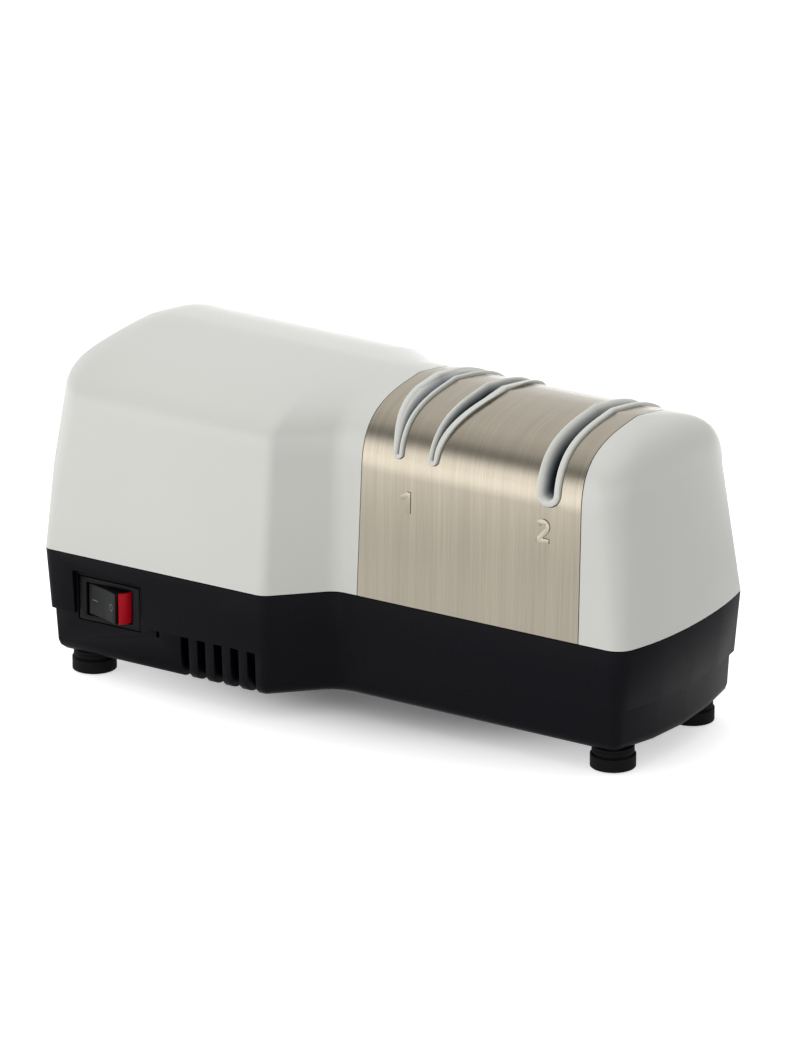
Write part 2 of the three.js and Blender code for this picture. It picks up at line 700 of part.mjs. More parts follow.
const WINDOW_TOP = SHAFT_HEIGHT - ROTOR_RADIUS - RUNNING_GAP - POLE_BELOW;
const WINDOW_BOTTOM = WINDOW_TOP - COIL_ROOM - COIL_THICKNESS - SEAT_GAP * 2;
const STACK_TOP = SHAFT_HEIGHT + ROTOR_RADIUS + RUNNING_GAP + POLE_ABOVE;
const STACK_BOTTOM = WINDOW_BOTTOM - YOKE_HEIGHT;
const FLOOR_TOP = BASE_BOTTOM + WALL;
const BEZEL_FACE = -MOTOR_WIDTH / 2 + LOWER_INSET;
const ROCKER_RADIUS = Math.hypot(ROCKER_HALF_LENGTH, ROCKER_REACH);
const SWITCH_BODY_WIDTH = (ROCKER_RADIUS + RUNNING_GAP + SWITCH_WALL) * 2;
const SWITCH_BODY_HEIGHT = ROCKER_HEIGHT + (SEAT_GAP + SWITCH_WALL) * 2;
const BEZEL_WIDTH = SWITCH_BODY_WIDTH + BEZEL_SIDE_RIM * 2;
const BEZEL_HEIGHT = SWITCH_BODY_HEIGHT + BEZEL_TOP_RIM * 2;
const POCKET_FLOOR = BEZEL_FACE + BEZEL_THICKNESS + SEAT_GAP;
const INLET_FACE = MOTOR_WIDTH / 2 - LOWER_INSET - SEAT_GAP;
const INLET_SEAT = INLET_FACE - INLET_FLANGE_THICKNESS - SEAT_GAP;
const FEET = {
  front_left: [LEFT_END + FOOT_INSET_LEFT, -MOTOR_WIDTH / 2 + FOOT_INSET_SIDE],
  front_right: [RIGHT_END - FOOT_INSET_RIGHT, -HEAD_WIDTH / 2 + FOOT_INSET_SIDE],
  back_left: [LEFT_END + FOOT_INSET_LEFT, MOTOR_WIDTH / 2 - FOOT_INSET_SIDE],
  back_right: [RIGHT_END - FOOT_INSET_RIGHT, HEAD_WIDTH / 2 - FOOT_INSET_SIDE],
};

function baseTray() {
  const outside = baseSolid();
  const inside = levels([
    [LOWER_INSET + LOWER_SETBACK + WALL * 2, FLOOR_TOP],
    [LOWER_INSET + LOWER_SETBACK + WALL, FLOOR_TOP + WALL],
    [LOWER_INSET + WALL, LEDGE_HEIGHT],
    [WALL, SEAM_HEIGHT + OVERRUN],
  ]);
  const tongueTop = SEAM_HEIGHT + TONGUE_HEIGHT;
  const tongueInset = WALL + TONGUE_CLEARANCE;
  const tongue = cut(
    levels([[LOWER_INSET + WALL / 2, LEDGE_HEIGHT + WALL * 2], [tongueInset, tongueTop]]),
    levels([
      [tongueInset + TONGUE_THICKNESS * 3, LEDGE_HEIGHT],
      [tongueInset + TONGUE_THICKNESS, tongueTop + OVERRUN],
    ]),
  );
  const [bezelLeft, bezelRight] = around(SWITCH_X, BEZEL_WIDTH);
  const [bezelBottom, bezelTop] = around(SWITCH_HEIGHT, BEZEL_HEIGHT);
  const recessSpan = [bezelLeft - RECESS_LEFT_MARGIN, bezelRight + RECESS_RIGHT_MARGIN];
  const recess = block(recessSpan, [-MOTOR_WIDTH, BEZEL_FACE], [bezelBottom, bezelTop + RECESS_TOP_MARGIN]);
  const well = block(
    [recessSpan[0] - SWITCH_WELL_WALL, recessSpan[1] + SWITCH_WELL_WALL],
    [-MOTOR_WIDTH / 2, POCKET_FLOOR + SWITCH_WELL_WALL],
    [bezelBottom - SWITCH_WELL_WALL, bezelTop + RECESS_TOP_MARGIN + SWITCH_WELL_WALL],
  ).intersect(outside);
  const inletWell = bar(INLET_FLANGE / 2 + SWITCH_WELL_WALL, [INLET_SEAT - WALL, MOTOR_WIDTH / 2], 'y',
    [INLET_X, INLET_HEIGHT]).intersect(outside);
  const columns = BOSSES.map((place) => bar(BOSS_RADIUS, [BASE_BOTTOM, SEAM_HEIGHT - SEAT_GAP], 'z', place,
    SMALL_ROUND_STEPS));
  const cradleSide = (side) => {
    const outer = STACK_WIDTH / 2 * side;
    const inner = (WINDOW_HALF_WIDTH + WALL) * side;
    return block(around(STACK_X, STACK_LENGTH), [Math.min(outer, inner), Math.max(outer, inner)],
      [BASE_BOTTOM, STACK_BOTTOM - SEAT_GAP]);
  };
  const magnetWall = block(around(FIRST_STAGE_X, MAGNET_WIDTH, WALL), around(0, MAGNET_LENGTH, WALL),
    [BASE_BOTTOM, FLOOR_TOP + MAGNET_THICKNESS / 2]);
  const magnetSeat = block(around(FIRST_STAGE_X, MAGNET_WIDTH, SEAT_GAP), around(0, MAGNET_LENGTH, SEAT_GAP),
    [FLOOR_TOP, SEAM_HEIGHT]);
  const walls = join(cut(outside, inside), tongue, well, inletWell);
  const solidBase = join(walls, ...columns, cradleSide(-1), cradleSide(1), magnetWall);
  const pocket = block(around(SWITCH_X, BEZEL_WIDTH, SEAT_GAP), [-MOTOR_WIDTH, POCKET_FLOOR],
    around(SWITCH_HEIGHT, BEZEL_HEIGHT, SEAT_GAP));
  const switchHole = block(around(SWITCH_X, SWITCH_BODY_WIDTH, SEAT_GAP), [-MOTOR_WIDTH, 0],
    around(SWITCH_HEIGHT, SWITCH_BODY_HEIGHT, SEAT_GAP));
  const inletSeat = bar(INLET_FLANGE / 2 + SEAT_GAP, [INLET_SEAT, MOTOR_WIDTH], 'y', [INLET_X, INLET_HEIGHT]);
  const inletHole = bar(INLET_NECK / 2 + SEAT_GAP, [0, MOTOR_WIDTH], 'y', [INLET_X, INLET_HEIGHT]);
  const vents = Array.from({ length: VENT_COUNT }, (_, i) => block(
    around(WAIST_X - VENT_WAIST_REACH - VENT_PITCH * i, VENT_WIDTH),
    [-MOTOR_WIDTH, -MOTOR_WIDTH / 2 + LOWER_INSET + VENT_REACH],
    [0, LEDGE_HEIGHT],
  ));
  const footHoles = Object.values(FEET).map((place) => bar(FOOT_PEG_RADIUS + SEAT_GAP,
    [0, BASE_BOTTOM + FOOT_PEG_LENGTH + SEAT_GAP], 'z', place, SMALL_ROUND_STEPS));
  const screwHoles = BOSSES.flatMap((place) => [
    bar(SCREW_RADIUS + SEAT_GAP, [0, MOTOR_TOP], 'z', place, SMALL_ROUND_STEPS),
    bar(SCREW_HEAD_RADIUS + SEAT_GAP, [0, FLOOR_TOP + SCREW_HEAD_HEIGHT], 'z', place, SMALL_ROUND_STEPS),
  ]);
  const postSpan = [SEAM_HEIGHT - SEAT_GAP, MOTOR_TOP];
  const postRoom = BOSSES.map((place) => bar(BOSS_RADIUS + SEAT_GAP, postSpan, 'z', place, SMALL_ROUND_STEPS));
  const notch = block(
    around(recessSpan[1] + NOTCH_REACH, NOTCH_WIDTH),
    [-MOTOR_WIDTH, BEZEL_FACE + NOTCH_DEPTH],
    [LEDGE_HEIGHT - NOTCH_HEIGHT, LEDGE_HEIGHT],
  );
  const sideHoles = [recess, notch, pocket, switchHole, inletSeat, inletHole];
  return cut(solidBase, ...sideHoles, magnetSeat, ...vents, ...footHoles, ...screwHoles, ...postRoom);
}

// Feet and base screws

// A foot about its own axis, up from the resting surface
function foot() {
  const grooveTop = FOOT_RIM_HEIGHT + FOOT_GROOVE_HEIGHT;
  const seat = BASE_BOTTOM - SEAT_GAP;
  return turned([
    [0, 0],
    [FOOT_RADIUS - FOOT_EDGE, 0],
    [FOOT_RADIUS, FOOT_EDGE],
    [FOOT_RADIUS, FOOT_RIM_HEIGHT],
    [FOOT_GROOVE_RADIUS, FOOT_RIM_HEIGHT],
    [FOOT_GROOVE_RADIUS, grooveTop],
    [FOOT_COLLAR_RADIUS, grooveTop],
    [FOOT_COLLAR_RADIUS, seat],
    [FOOT_PEG_RADIUS, seat],
    [FOOT_PEG_RADIUS, BASE_BOTTOM + FOOT_PEG_LENGTH],
    [0, BASE_BOTTOM + FOOT_PEG_LENGTH],
  ], 'z', [0, 0, 0]);
}

// A screw about its own axis, up from under its head
const SCREW_SEAT = FLOOR_TOP + SCREW_HEAD_HEIGHT - SEAT_GAP;

function baseScrew() {
  const tip = SEAM_HEIGHT + SCREW_BITE - SEAT_GAP - SCREW_SEAT;
  return turned([
    [0, -SCREW_HEAD_HEIGHT],
    [SCREW_HEAD_RADIUS, -SCREW_HEAD_HEIGHT],
    [SCREW_HEAD_RADIUS, 0],
    [SCREW_RADIUS, 0],
    [SCREW_RADIUS, tip],
    [0, tip],
  ], 'z', [0, 0, 0], SMALL_ROUND_STEPS);
}

// Rocker switch

const ROCKER_TIP_ANGLE = Math.atan2(ROCKER_REACH, ROCKER_HALF_LENGTH);
const TILT = THREE.MathUtils.degToRad(ROCKER_TILT);
const ROCKER_PIVOT = BEZEL_FACE + ROCKER_SINK + ROCKER_RADIUS * Math.sin(ROCKER_TIP_ANGLE - TILT);

function switchHousing() {
  const bezel = block(around(SWITCH_X, BEZEL_WIDTH), [BEZEL_FACE, BEZEL_FACE + BEZEL_THICKNESS],
    around(SWITCH_HEIGHT, BEZEL_HEIGHT));
  const back = BEZEL_FACE + SWITCH_BODY_DEPTH;
  const body = block(around(SWITCH_X, SWITCH_BODY_WIDTH), [BEZEL_FACE, back],
    around(SWITCH_HEIGHT, SWITCH_BODY_HEIGHT));
  const pocket = block(
    around(SWITCH_X, ROCKER_RADIUS * 2, RUNNING_GAP),
    [-MOTOR_WIDTH, ROCKER_PIVOT + ROCKER_RADIUS / 2],
    around(SWITCH_HEIGHT, ROCKER_HEIGHT, SEAT_GAP),
  );
  return cut(join(bezel, body), pocket);
}

// Rocker section in its own frame: u to the right, v out of the switch
function rockerSection(radius, from, to) {
  const steps = 5;
  return Array.from({ length: steps + 1 }, (_, i) => {
    const angle = lerp(from, to, i / steps);
    return [radius * Math.cos(angle), radius * Math.sin(angle)];
  });
}

// A section standing in the switch, turned to the tilt that the rocker rests at
function standing(points) {
  return upZ(points.map(([u, v]) => {
    const tilted = new THREE.Vector2(u, v).rotateAround(new THREE.Vector2(), TILT);
    return [SWITCH_X + tilted.x, ROCKER_PIVOT - tilted.y];
  }).reverse(), around(SWITCH_HEIGHT, ROCKER_HEIGHT));
}

function rocker() {
  const low = -ROCKER_TIP_ANGLE / 4;
  const inner = ROCKER_RADIUS - FLANK_THICKNESS - SEAT_GAP;
  const faceSteps = 6;
  const face = Array.from({ length: faceSteps + 1 }, (_, i) => {
    const u = lerp(ROCKER_HALF_LENGTH - FLANK_THICKNESS / 4, -ROCKER_HALF_LENGTH, i / faceSteps);
    return [u, ROCKER_REACH - ROCKER_DISH * (1 - (u / ROCKER_HALF_LENGTH) ** 2)];
  });
  return standing([
    ...rockerSection(inner, low, ROCKER_TIP_ANGLE - FLANK_THICKNESS / inner),
    ...face,
    ...rockerSection(ROCKER_RADIUS, HALF_TURN - ROCKER_TIP_ANGLE, HALF_TURN - low).slice(1),
    [-ROCKER_HALF_LENGTH / 3, -ROCKER_REACH / 2],
    [ROCKER_HALF_LENGTH / 3, -ROCKER_REACH / 2],
  ]);
}

function rockerFlank() {
  const low = -ROCKER_TIP_ANGLE / 4;
  const high = ROCKER_TIP_ANGLE - (FLANK_THICKNESS + SEAT_GAP) / ROCKER_RADIUS;
  return standing([
    ...rockerSection(ROCKER_RADIUS, low, high),
    ...rockerSection(ROCKER_RADIUS - FLANK_THICKNESS, high, low),
  ]);
}

function terminal(side) {
  const x = SWITCH_X + side * TERMINAL_SPACING / 2;
  const start = BEZEL_FACE + SWITCH_BODY_DEPTH + SEAT_GAP;
  return block(around(x, TERMINAL_THICKNESS), [start, start + TERMINAL_LENGTH],
    around(SWITCH_HEIGHT, TERMINAL_WIDTH));
}

// Cord inlet: an open bush in the back wall

function inletBush() {
  const back = INLET_SEAT - WALL - SEAT_GAP;
  return turned([
    [INLET_BORE / 2, back],
    [INLET_NECK / 2, back],
    [INLET_NECK / 2, INLET_SEAT + SEAT_GAP],
    [INLET_FLANGE / 2, INLET_SEAT + SEAT_GAP],
    [INLET_FLANGE / 2, INLET_FACE],
    [INLET_BORE / 2, INLET_FACE],
    [INLET_BORE / 2, back],
  ], 'y', [INLET_X, 0, INLET_HEIGHT], SMALL_ROUND_STEPS);
}

// Motor

const STACK = around(STACK_X, STACK_LENGTH);
const BRIDGE_SPAN = STACK_WIDTH / 2 - BRIDGE_EDGE;
const BEARING_REACH = STACK_LENGTH / 2 + SEAT_GAP + BRIDGE_DEPTH;
const MOTOR_SCREWS = [-BRIDGE_SPAN, BRIDGE_SPAN];
const FAN_X = STACK_X + BEARING_REACH + BEARING_LENGTH / 2 + FAN_CLEARANCE + FAN_WIDTH / 2;

function stator() {
  const half = STACK_WIDTH / 2;
  const outline = [
    [-half + STACK_CORNER, STACK_BOTTOM], [half - STACK_CORNER, STACK_BOTTOM],
    [half, STACK_BOTTOM + STACK_CORNER], [half, STACK_TOP - STACK_CORNER],
    [half - STACK_CORNER, STACK_TOP], [-half + STACK_CORNER, STACK_TOP],
    [-half, STACK_TOP - STACK_CORNER], [-half, STACK_BOTTOM + STACK_CORNER],
  ];
  const through = around(STACK_X, STACK_LENGTH, OVERRUN);
  const window = block(through, [-WINDOW_HALF_WIDTH, WINDOW_HALF_WIDTH], [WINDOW_BOTTOM, WINDOW_TOP]);
  const bore = bar(ROTOR_RADIUS + RUNNING_GAP, through, 'x', [0, SHAFT_HEIGHT]);
  const holes = MOTOR_SCREWS.map((y) => bar(MOTOR_SCREW_RADIUS + SEAT_GAP, through, 'x', [y, SHAFT_HEIGHT],
    SMALL_ROUND_STEPS));
  return cut(alongX(outline, STACK), window, bore, ...holes);
}

// The winding round the lower leg of the stack
function coil() {
  const reach = COIL_THICKNESS + SEAT_GAP;
  const half = WINDOW_HALF_WIDTH - SEAT_GAP;
  const body = block([STACK[0] - reach, STACK[1] + reach], [-half, half],
    [STACK_BOTTOM - reach, WINDOW_BOTTOM + reach]);
  const leg = block([STACK[0] - SEAT_GAP, STACK[1] + SEAT_GAP], [-STACK_WIDTH, STACK_WIDTH],
    [STACK_BOTTOM - SEAT_GAP, WINDOW_BOTTOM + SEAT_GAP]);
  return cut(body, leg);
}

// A hat-shaped strap that carries a bearing over one end of the rotor
function bridge(side) {
  const face = STACK_X + side * (STACK_LENGTH / 2 + SEAT_GAP);
  const near = (distance) => face + side * distance;
  const ear = BRIDGE_SPAN + MOTOR_SCREW_HEAD;
  const bend = BRIDGE_SPAN - MOTOR_SCREW_HEAD - SEAT_GAP;
  const half = [
    [near(0), ear], [near(BRIDGE_THICKNESS), ear], [near(BRIDGE_THICKNESS), bend],
    [near(BRIDGE_DEPTH + BRIDGE_THICKNESS), BRIDGE_SHELF],
  ];
  const inner = [[near(BRIDGE_DEPTH), BRIDGE_SHELF - BRIDGE_THICKNESS], [near(0), bend - BRIDGE_THICKNESS]];
  const mirrored = (points) => points.map(([x, y]) => [x, -y]).reverse();
  const outline = [...half, ...mirrored(half), ...mirrored(inner), ...inner];
  const strap = upZ(outline, around(SHAFT_HEIGHT, BRIDGE_HEIGHT));
  const ends = [near(BRIDGE_DEPTH - BEARING_LENGTH / 2), near(BRIDGE_DEPTH + BEARING_LENGTH / 2)];
  const cup = [Math.min(...ends), Math.max(...ends)];
  const seat = bar(BEARING_RADIUS + BRIDGE_THICKNESS, cup, 'x', [0, SHAFT_HEIGHT]);
  const bore = bar(BEARING_RADIUS + SEAT_GAP, [cup[0] - OVERRUN, cup[1] + OVERRUN], 'x', [0, SHAFT_HEIGHT]);
  const holes = MOTOR_SCREWS.map((y) => bar(MOTOR_SCREW_RADIUS + SEAT_GAP,
    [STACK[0] - OVERRUN, STACK[1] + OVERRUN], 'x', [y, SHAFT_HEIGHT], SMALL_ROUND_STEPS));
  return cut(join(strap, seat), bore, ...holes);
}

function bearing(middle) {
  const span = around(middle, BEARING_LENGTH);
  return tube(BEARING_RADIUS, SHAFT_RADIUS + SEAT_GAP, span, 'x', [0, 0, SHAFT_HEIGHT], SMALL_ROUND_STEPS);
}

function motorScrew(y) {
  const start = STACK[0] - SEAT_GAP * 2 - BRIDGE_THICKNESS;
  const end = STACK[1] + SEAT_GAP * 2 + BRIDGE_THICKNESS + MOTOR_SCREW_RADIUS * 2;
  return turned([
    [0, start - MOTOR_SCREW_RADIUS],
    [MOTOR_SCREW_HEAD, start - MOTOR_SCREW_RADIUS],
    [MOTOR_SCREW_HEAD, start],
    [MOTOR_SCREW_RADIUS, start],
    [MOTOR_SCREW_RADIUS, end],
    [0, end],
  ], 'x', [0, y, SHAFT_HEIGHT], SMALL_ROUND_STEPS);
}

function rotor() {
  const span = around(STACK_X, STACK_LENGTH, ROTOR_OVERHANG);
  return tube(ROTOR_RADIUS, SHAFT_RADIUS + SEAT_GAP, span, 'x', [0, 0, SHAFT_HEIGHT]);
}

function fan() {
  const back = [FAN_X - FAN_WIDTH / 2, FAN_X - FAN_WIDTH / 2 + FAN_PLATE];
  const width = [FAN_X - FAN_WIDTH / 2, FAN_X + FAN_WIDTH / 2];
  const hub = bar(FAN_HUB_RADIUS, width, 'x', [0, SHAFT_HEIGHT], SMALL_ROUND_STEPS);
  const plate = bar(FAN_RADIUS, back, 'x', [0, SHAFT_HEIGHT]);
  const blades = Array.from({ length: FAN_BLADES }, (_, i) => {
    const blade = new THREE.BoxGeometry(FAN_WIDTH, FAN_PLATE, FAN_RADIUS - FAN_HUB_RADIUS / 2);
    blade.translate(FAN_X, 0, (FAN_RADIUS + FAN_HUB_RADIUS / 2) / 2);
    blade.rotateX(HALF_TURN * 2 * i / FAN_BLADES);
    blade.translate(0, 0, SHAFT_HEIGHT);
    return solid(blade);
  });
  const bore = bar(SHAFT_RADIUS + SEAT_GAP, [width[0] - OVERRUN, width[1] + OVERRUN], 'x', [0, SHAFT_HEIGHT],
    SMALL_ROUND_STEPS);
  return cut(join(hub, plate, ...blades), bore);
}

// First stage

// An abrasive disc facing its slot, with a hub that slides on the shaft
function abrasiveDisc(side) {
  const face = FIRST_STAGE_X + side * DISC_SETBACK;
  const inwards = (distance) => face - side * distance;
  const profile = [
    [SHAFT_RADIUS + SEAT_GAP, inwards(0)],
    [DISC_HUB_RADIUS, inwards(0)],
    [DISC_RADIUS, inwards(DISC_CONE)],
    [DISC_RADIUS, inwards(DISC_THICKNESS)],
    [DISC_HUB_RADIUS, inwards(DISC_THICKNESS)],
    [DISC_HUB_RADIUS - DISC_CONE, inwards(DISC_HUB_LENGTH)],
    [SHAFT_RADIUS + SEAT_GAP, inwards(DISC_HUB_LENGTH)],
    [SHAFT_RADIUS + SEAT_GAP, inwards(0)],
  ];
  return turned(side < 0 ? profile : profile.reverse(), 'x', [0, 0, SHAFT_HEIGHT]);
}

function drivePin(side) {
  const x = FIRST_STAGE_X + side * (DISC_SETBACK + SEAT_GAP + DRIVE_PIN_RADIUS);
  return bar(DRIVE_PIN_RADIUS, around(SHAFT_HEIGHT, DRIVE_PIN_LENGTH), 'z', [x, 0], SMALL_ROUND_STEPS);
}

function shaft() {
  const pinHoles = [-1, 1].map((side) => {
    const x = FIRST_STAGE_X + side * (DISC_SETBACK + SEAT_GAP + DRIVE_PIN_RADIUS);
    const through = around(SHAFT_HEIGHT, SHAFT_RADIUS * 4);
    return bar(DRIVE_PIN_RADIUS + SEAT_GAP, through, 'z', [x, 0], SMALL_ROUND_STEPS);
  });
  const left = STACK_X - BEARING_REACH - BEARING_LENGTH / 2 - SHAFT_LEFT_OVERHANG;
  const right = OUTBOARD_X + BEARING_LENGTH / 2 + SHAFT_RIGHT_OVERHANG;
  return cut(bar(SHAFT_RADIUS, [left, right], 'x', [0, SHAFT_HEIGHT], SMALL_ROUND_STEPS), ...pinHoles);
}

// The compression spring that keeps both discs out against their pins
function discSpring() {
  const length = (DISC_SETBACK - DISC_HUB_LENGTH - SEAT_GAP) * 2 - SPRING_WIRE;
  const radius = SHAFT_RADIUS + SEAT_GAP * 2 + SPRING_WIRE;
  const stepsPerTurn = 8;
  const sides = 5;
  const steps = SPRING_TURNS * stepsPerTurn;
  const rings = [];
  for (let step = 0; step <= steps; step += 1) {
    const angle = HALF_TURN * 2 * step / stepsPerTurn;
    const along = FIRST_STAGE_X + length * (step / steps - 1 / 2);
    for (let k = 0; k < sides; k += 1) {
      const turn = HALF_TURN * 2 * k / sides;
      const reach = radius + SPRING_WIRE / 2 * Math.cos(turn);
      rings.push(along + SPRING_WIRE / 2 * Math.sin(turn), reach * Math.cos(angle),
        SHAFT_HEIGHT + reach * Math.sin(angle));
    }
  }
  const index = [];
  for (let step = 0; step < steps; step += 1) {
    for (let k = 0; k < sides; k += 1) {
      const a = step * sides + k;
      const b = step * sides + (k + 1) % sides;
      index.push(a, b + sides, b, a, a + sides, b + sides);
    }
  }
  for (let k = 1; k + 1 < sides; k += 1) {
    index.push(0, k, k + 1);
    index.push(steps * sides, steps * sides + k + 1, steps * sides + k);
  }
  const geometry = new THREE.BufferGeometry();
  geometry.setAttribute('position', new THREE.Float32BufferAttribute(rings, 3));
  geometry.setIndex(index);
  return solid(geometry);
}

// The pedestal that carries the free end of the shaft
function pedestal() {
  const span = around(OUTBOARD_X, PEDESTAL_THICKNESS);
  const half = PEDESTAL_WIDTH / 2;
  const shoulderShare = 0.55;
  const top = SHAFT_HEIGHT + BEARING_RADIUS + BRIDGE_THICKNESS;
  const bottom = FLOOR_TOP + SEAT_GAP;
  const plate = alongX([
    [-half, bottom], [half, bottom], [half, lerp(bottom, top, shoulderShare)], [BEARING_RADIUS, top],
    [-BEARING_RADIUS, top], [-half, lerp(bottom, top, shoulderShare)],
  ], span);
  const flange = block(around(OUTBOARD_X, PEDESTAL_FOOT), [-half, half], [bottom, bottom + WALL]);
  const axis = [0, SHAFT_HEIGHT];
  const seat = bar(BEARING_RADIUS + BRIDGE_THICKNESS, around(OUTBOARD_X, BEARING_LENGTH), 'x', axis);
  const bore = bar(BEARING_RADIUS + SEAT_GAP, around(OUTBOARD_X, BEARING_LENGTH, OVERRUN), 'x', axis);
  return cut(join(plate, flange, seat), bore);
}

// Second stage

function fineCarrier() {
  const outer = FINE_SPAN / 2 + CARRIER_WALL;
  const bottom = FLOOR_TOP + SEAT_GAP;
  const top = FINE_HEIGHT + FINE_AXLE_RADIUS * 3;
  const halfSpan = FINE_SPAN / 2;
  const frame = acrossY([
    [SECOND_STAGE_X - outer, bottom], [SECOND_STAGE_X + outer, bottom], [SECOND_STAGE_X + outer, top],
    [SECOND_STAGE_X + halfSpan, top], [SECOND_STAGE_X + halfSpan, bottom + CARRIER_WALL],
    [SECOND_STAGE_X - halfSpan, bottom + CARRIER_WALL], [SECOND_STAGE_X - halfSpan, top],
    [SECOND_STAGE_X - outer, top],
  ], around(0, CARRIER_WIDTH));
  const through = around(SECOND_STAGE_X, outer * 2, OVERRUN);
  const hole = bar(FINE_AXLE_RADIUS + SEAT_GAP, through, 'x', [0, FINE_HEIGHT], SMALL_ROUND_STEPS);
  return cut(frame, hole);
}

function fineWheel(side) {
  const place = (distance) => SECOND_STAGE_X + side * distance;
  const bore = FINE_AXLE_RADIUS + SEAT_GAP;
  const profile = [
    [bore, place(FINE_NOSE)],
    [FINE_HUB_RADIUS, place(FINE_NOSE)],
    [FINE_RADIUS, place(FINE_NOSE + FINE_GROOVE)],
    [FINE_RADIUS, place(FINE_NOSE + FINE_GROOVE + FINE_THICKNESS)],
    [FINE_HUB_RADIUS, place(FINE_NOSE + FINE_THICKNESS + FINE_GROOVE)],
    [FINE_HUB_RADIUS, place(FINE_SPAN / 2 - SEAT_GAP)],
    [bore, place(FINE_SPAN / 2 - SEAT_GAP)],
    [bore, place(FINE_NOSE)],
  ];
  return turned(side > 0 ? profile : profile.reverse(), 'x', [0, 0, FINE_HEIGHT]);
}

function fineAxle() {
  return bar(FINE_AXLE_RADIUS, around(SECOND_STAGE_X, FINE_SPAN, CARRIER_WALL), 'x', [0, FINE_HEIGHT],
    SMALL_ROUND_STEPS);
}

function magnet() {
  return block(around(FIRST_STAGE_X, MAGNET_WIDTH), around(0, MAGNET_LENGTH),
    [FLOOR_TOP + SEAT_GAP, FLOOR_TOP + SEAT_GAP + MAGNET_THICKNESS]);
}

// Finishes

const finish = (color, roughness, metalness) => ({ color, roughness, metalness });
const PALE_SHELL = finish(0xd9dad3, 0.35, 0);
const BLACK_BASE = finish(0x1c1d22, 0.6, 0);
const BRUSHED_STEEL = finish(0xb5ada0, 0.3, 1);
const RUBBER = finish(0x121214, 0.85, 0);
const SWITCH_BLACK = finish(0x202222, 0.45, 0);
const SWITCH_RED = finish(0xc41c30, 0.4, 0);
const BRASS = finish(0xb89a4e, 0.35, 1);
const LAMINATION = finish(0x6e7074, 0.5, 1);
const COPPER = finish(0xa85c32, 0.4, 1);
const ZINC = finish(0x9a9da0, 0.4, 1);
const SHAFT_STEEL = finish(0xa7aaad, 0.25, 1);
const BRONZE = finish(0x8f6f45, 0.45, 1);
const ABRASIVE = finish(0x75777a, 0.9, 0.4);
const WHITE_PLASTIC = finish(0xc9cac6, 0.5, 0);
const MAGNET_BLACK = finish(0x2a2a2c, 0.7, 0.2);

const sharpener = new THREE.Group();

// An assembly that stands at its own origin
function assembly(name, ...place) {
  const group = new THREE.Group();
  group.name = name;
  group.position.set(...place);
  sharpener.add(group);
  return group;
}

function hang(group, name, manifold, look, place) {
  const mesh = new THREE.Mesh(geometryOf(manifold), new THREE.MeshStandardMaterial(look));
  mesh.name = name;
  mesh.position.set(...place);
  group.add(mesh);
  return mesh;
}

// Adds a solid that is shaped where it stands in the body, and moves its shape to its assembly's origin
function add(group, name, manifold, look) {
  const { x, y, z } = group.position;
  hang(group, name, manifold, look, [0, 0, 0]).geometry.translate(-x, -y, -z);
}

const shell = assembly('shell', 0, 0, 0);
add(shell, 'base_tray', baseTray(), BLACK_BASE);
add(shell, 'top_housing', topHousing(), PALE_SHELL);
add(shell, 'steel_cover', steelCover(), BRUSHED_STEEL);
add(shell, 'slot_guide_left', firstGuide(-1), PALE_SHELL);
add(shell, 'slot_guide_right', firstGuide(1), PALE_SHELL);
add(shell, 'slot_guide_fine', slotGuide(straightSlot(0), straightSlot(FINE_LIP_WIDTH)), PALE_SHELL);
for (const [name, [x, y]] of Object.entries(FEET)) hang(shell, `foot_${name}`, foot(), RUBBER, [x, y, 0]);
BOSSES.forEach(([x, y], i) => {
  hang(shell, `base_screw_${i + 1}`, baseScrew(), SHAFT_STEEL, [x, y, SCREW_SEAT]);
});

const powerSwitch = assembly('power_switch', SWITCH_X, ROCKER_PIVOT, SWITCH_HEIGHT);
add(powerSwitch, 'switch_housing', switchHousing(), SWITCH_BLACK);
add(powerSwitch, 'switch_rocker', rocker(), SWITCH_BLACK);
add(powerSwitch, 'rocker_red_flank', rockerFlank(), SWITCH_RED);
add(powerSwitch, 'switch_terminal_left', terminal(-1), BRASS);
add(powerSwitch, 'switch_terminal_right', terminal(1), BRASS);

const inlet = assembly('inlet', INLET_X, INLET_SEAT, INLET_HEIGHT);
add(inlet, 'cord_inlet_bush', inletBush(), RUBBER);

const motor = assembly('motor', STACK_X, 0, SHAFT_HEIGHT);
add(motor, 'motor_stack', stator(), LAMINATION);
add(motor, 'motor_coil', coil(), COPPER);
add(motor, 'motor_bridge_left', bridge(-1), ZINC);
add(motor, 'motor_bridge_right', bridge(1), ZINC);
add(motor, 'motor_screw_front', motorScrew(-BRIDGE_SPAN), SHAFT_STEEL);
add(motor, 'motor_screw_back', motorScrew(BRIDGE_SPAN), SHAFT_STEEL);
add(motor, 'bearing_left', bearing(STACK_X - BEARING_REACH), BRONZE);
add(motor, 'bearing_right', bearing(STACK_X + BEARING_REACH), BRONZE);
add(motor, 'motor_shaft', shaft(), SHAFT_STEEL);
add(motor, 'motor_rotor', rotor(), LAMINATION);
add(motor, 'cooling_fan', fan(), WHITE_PLASTIC);

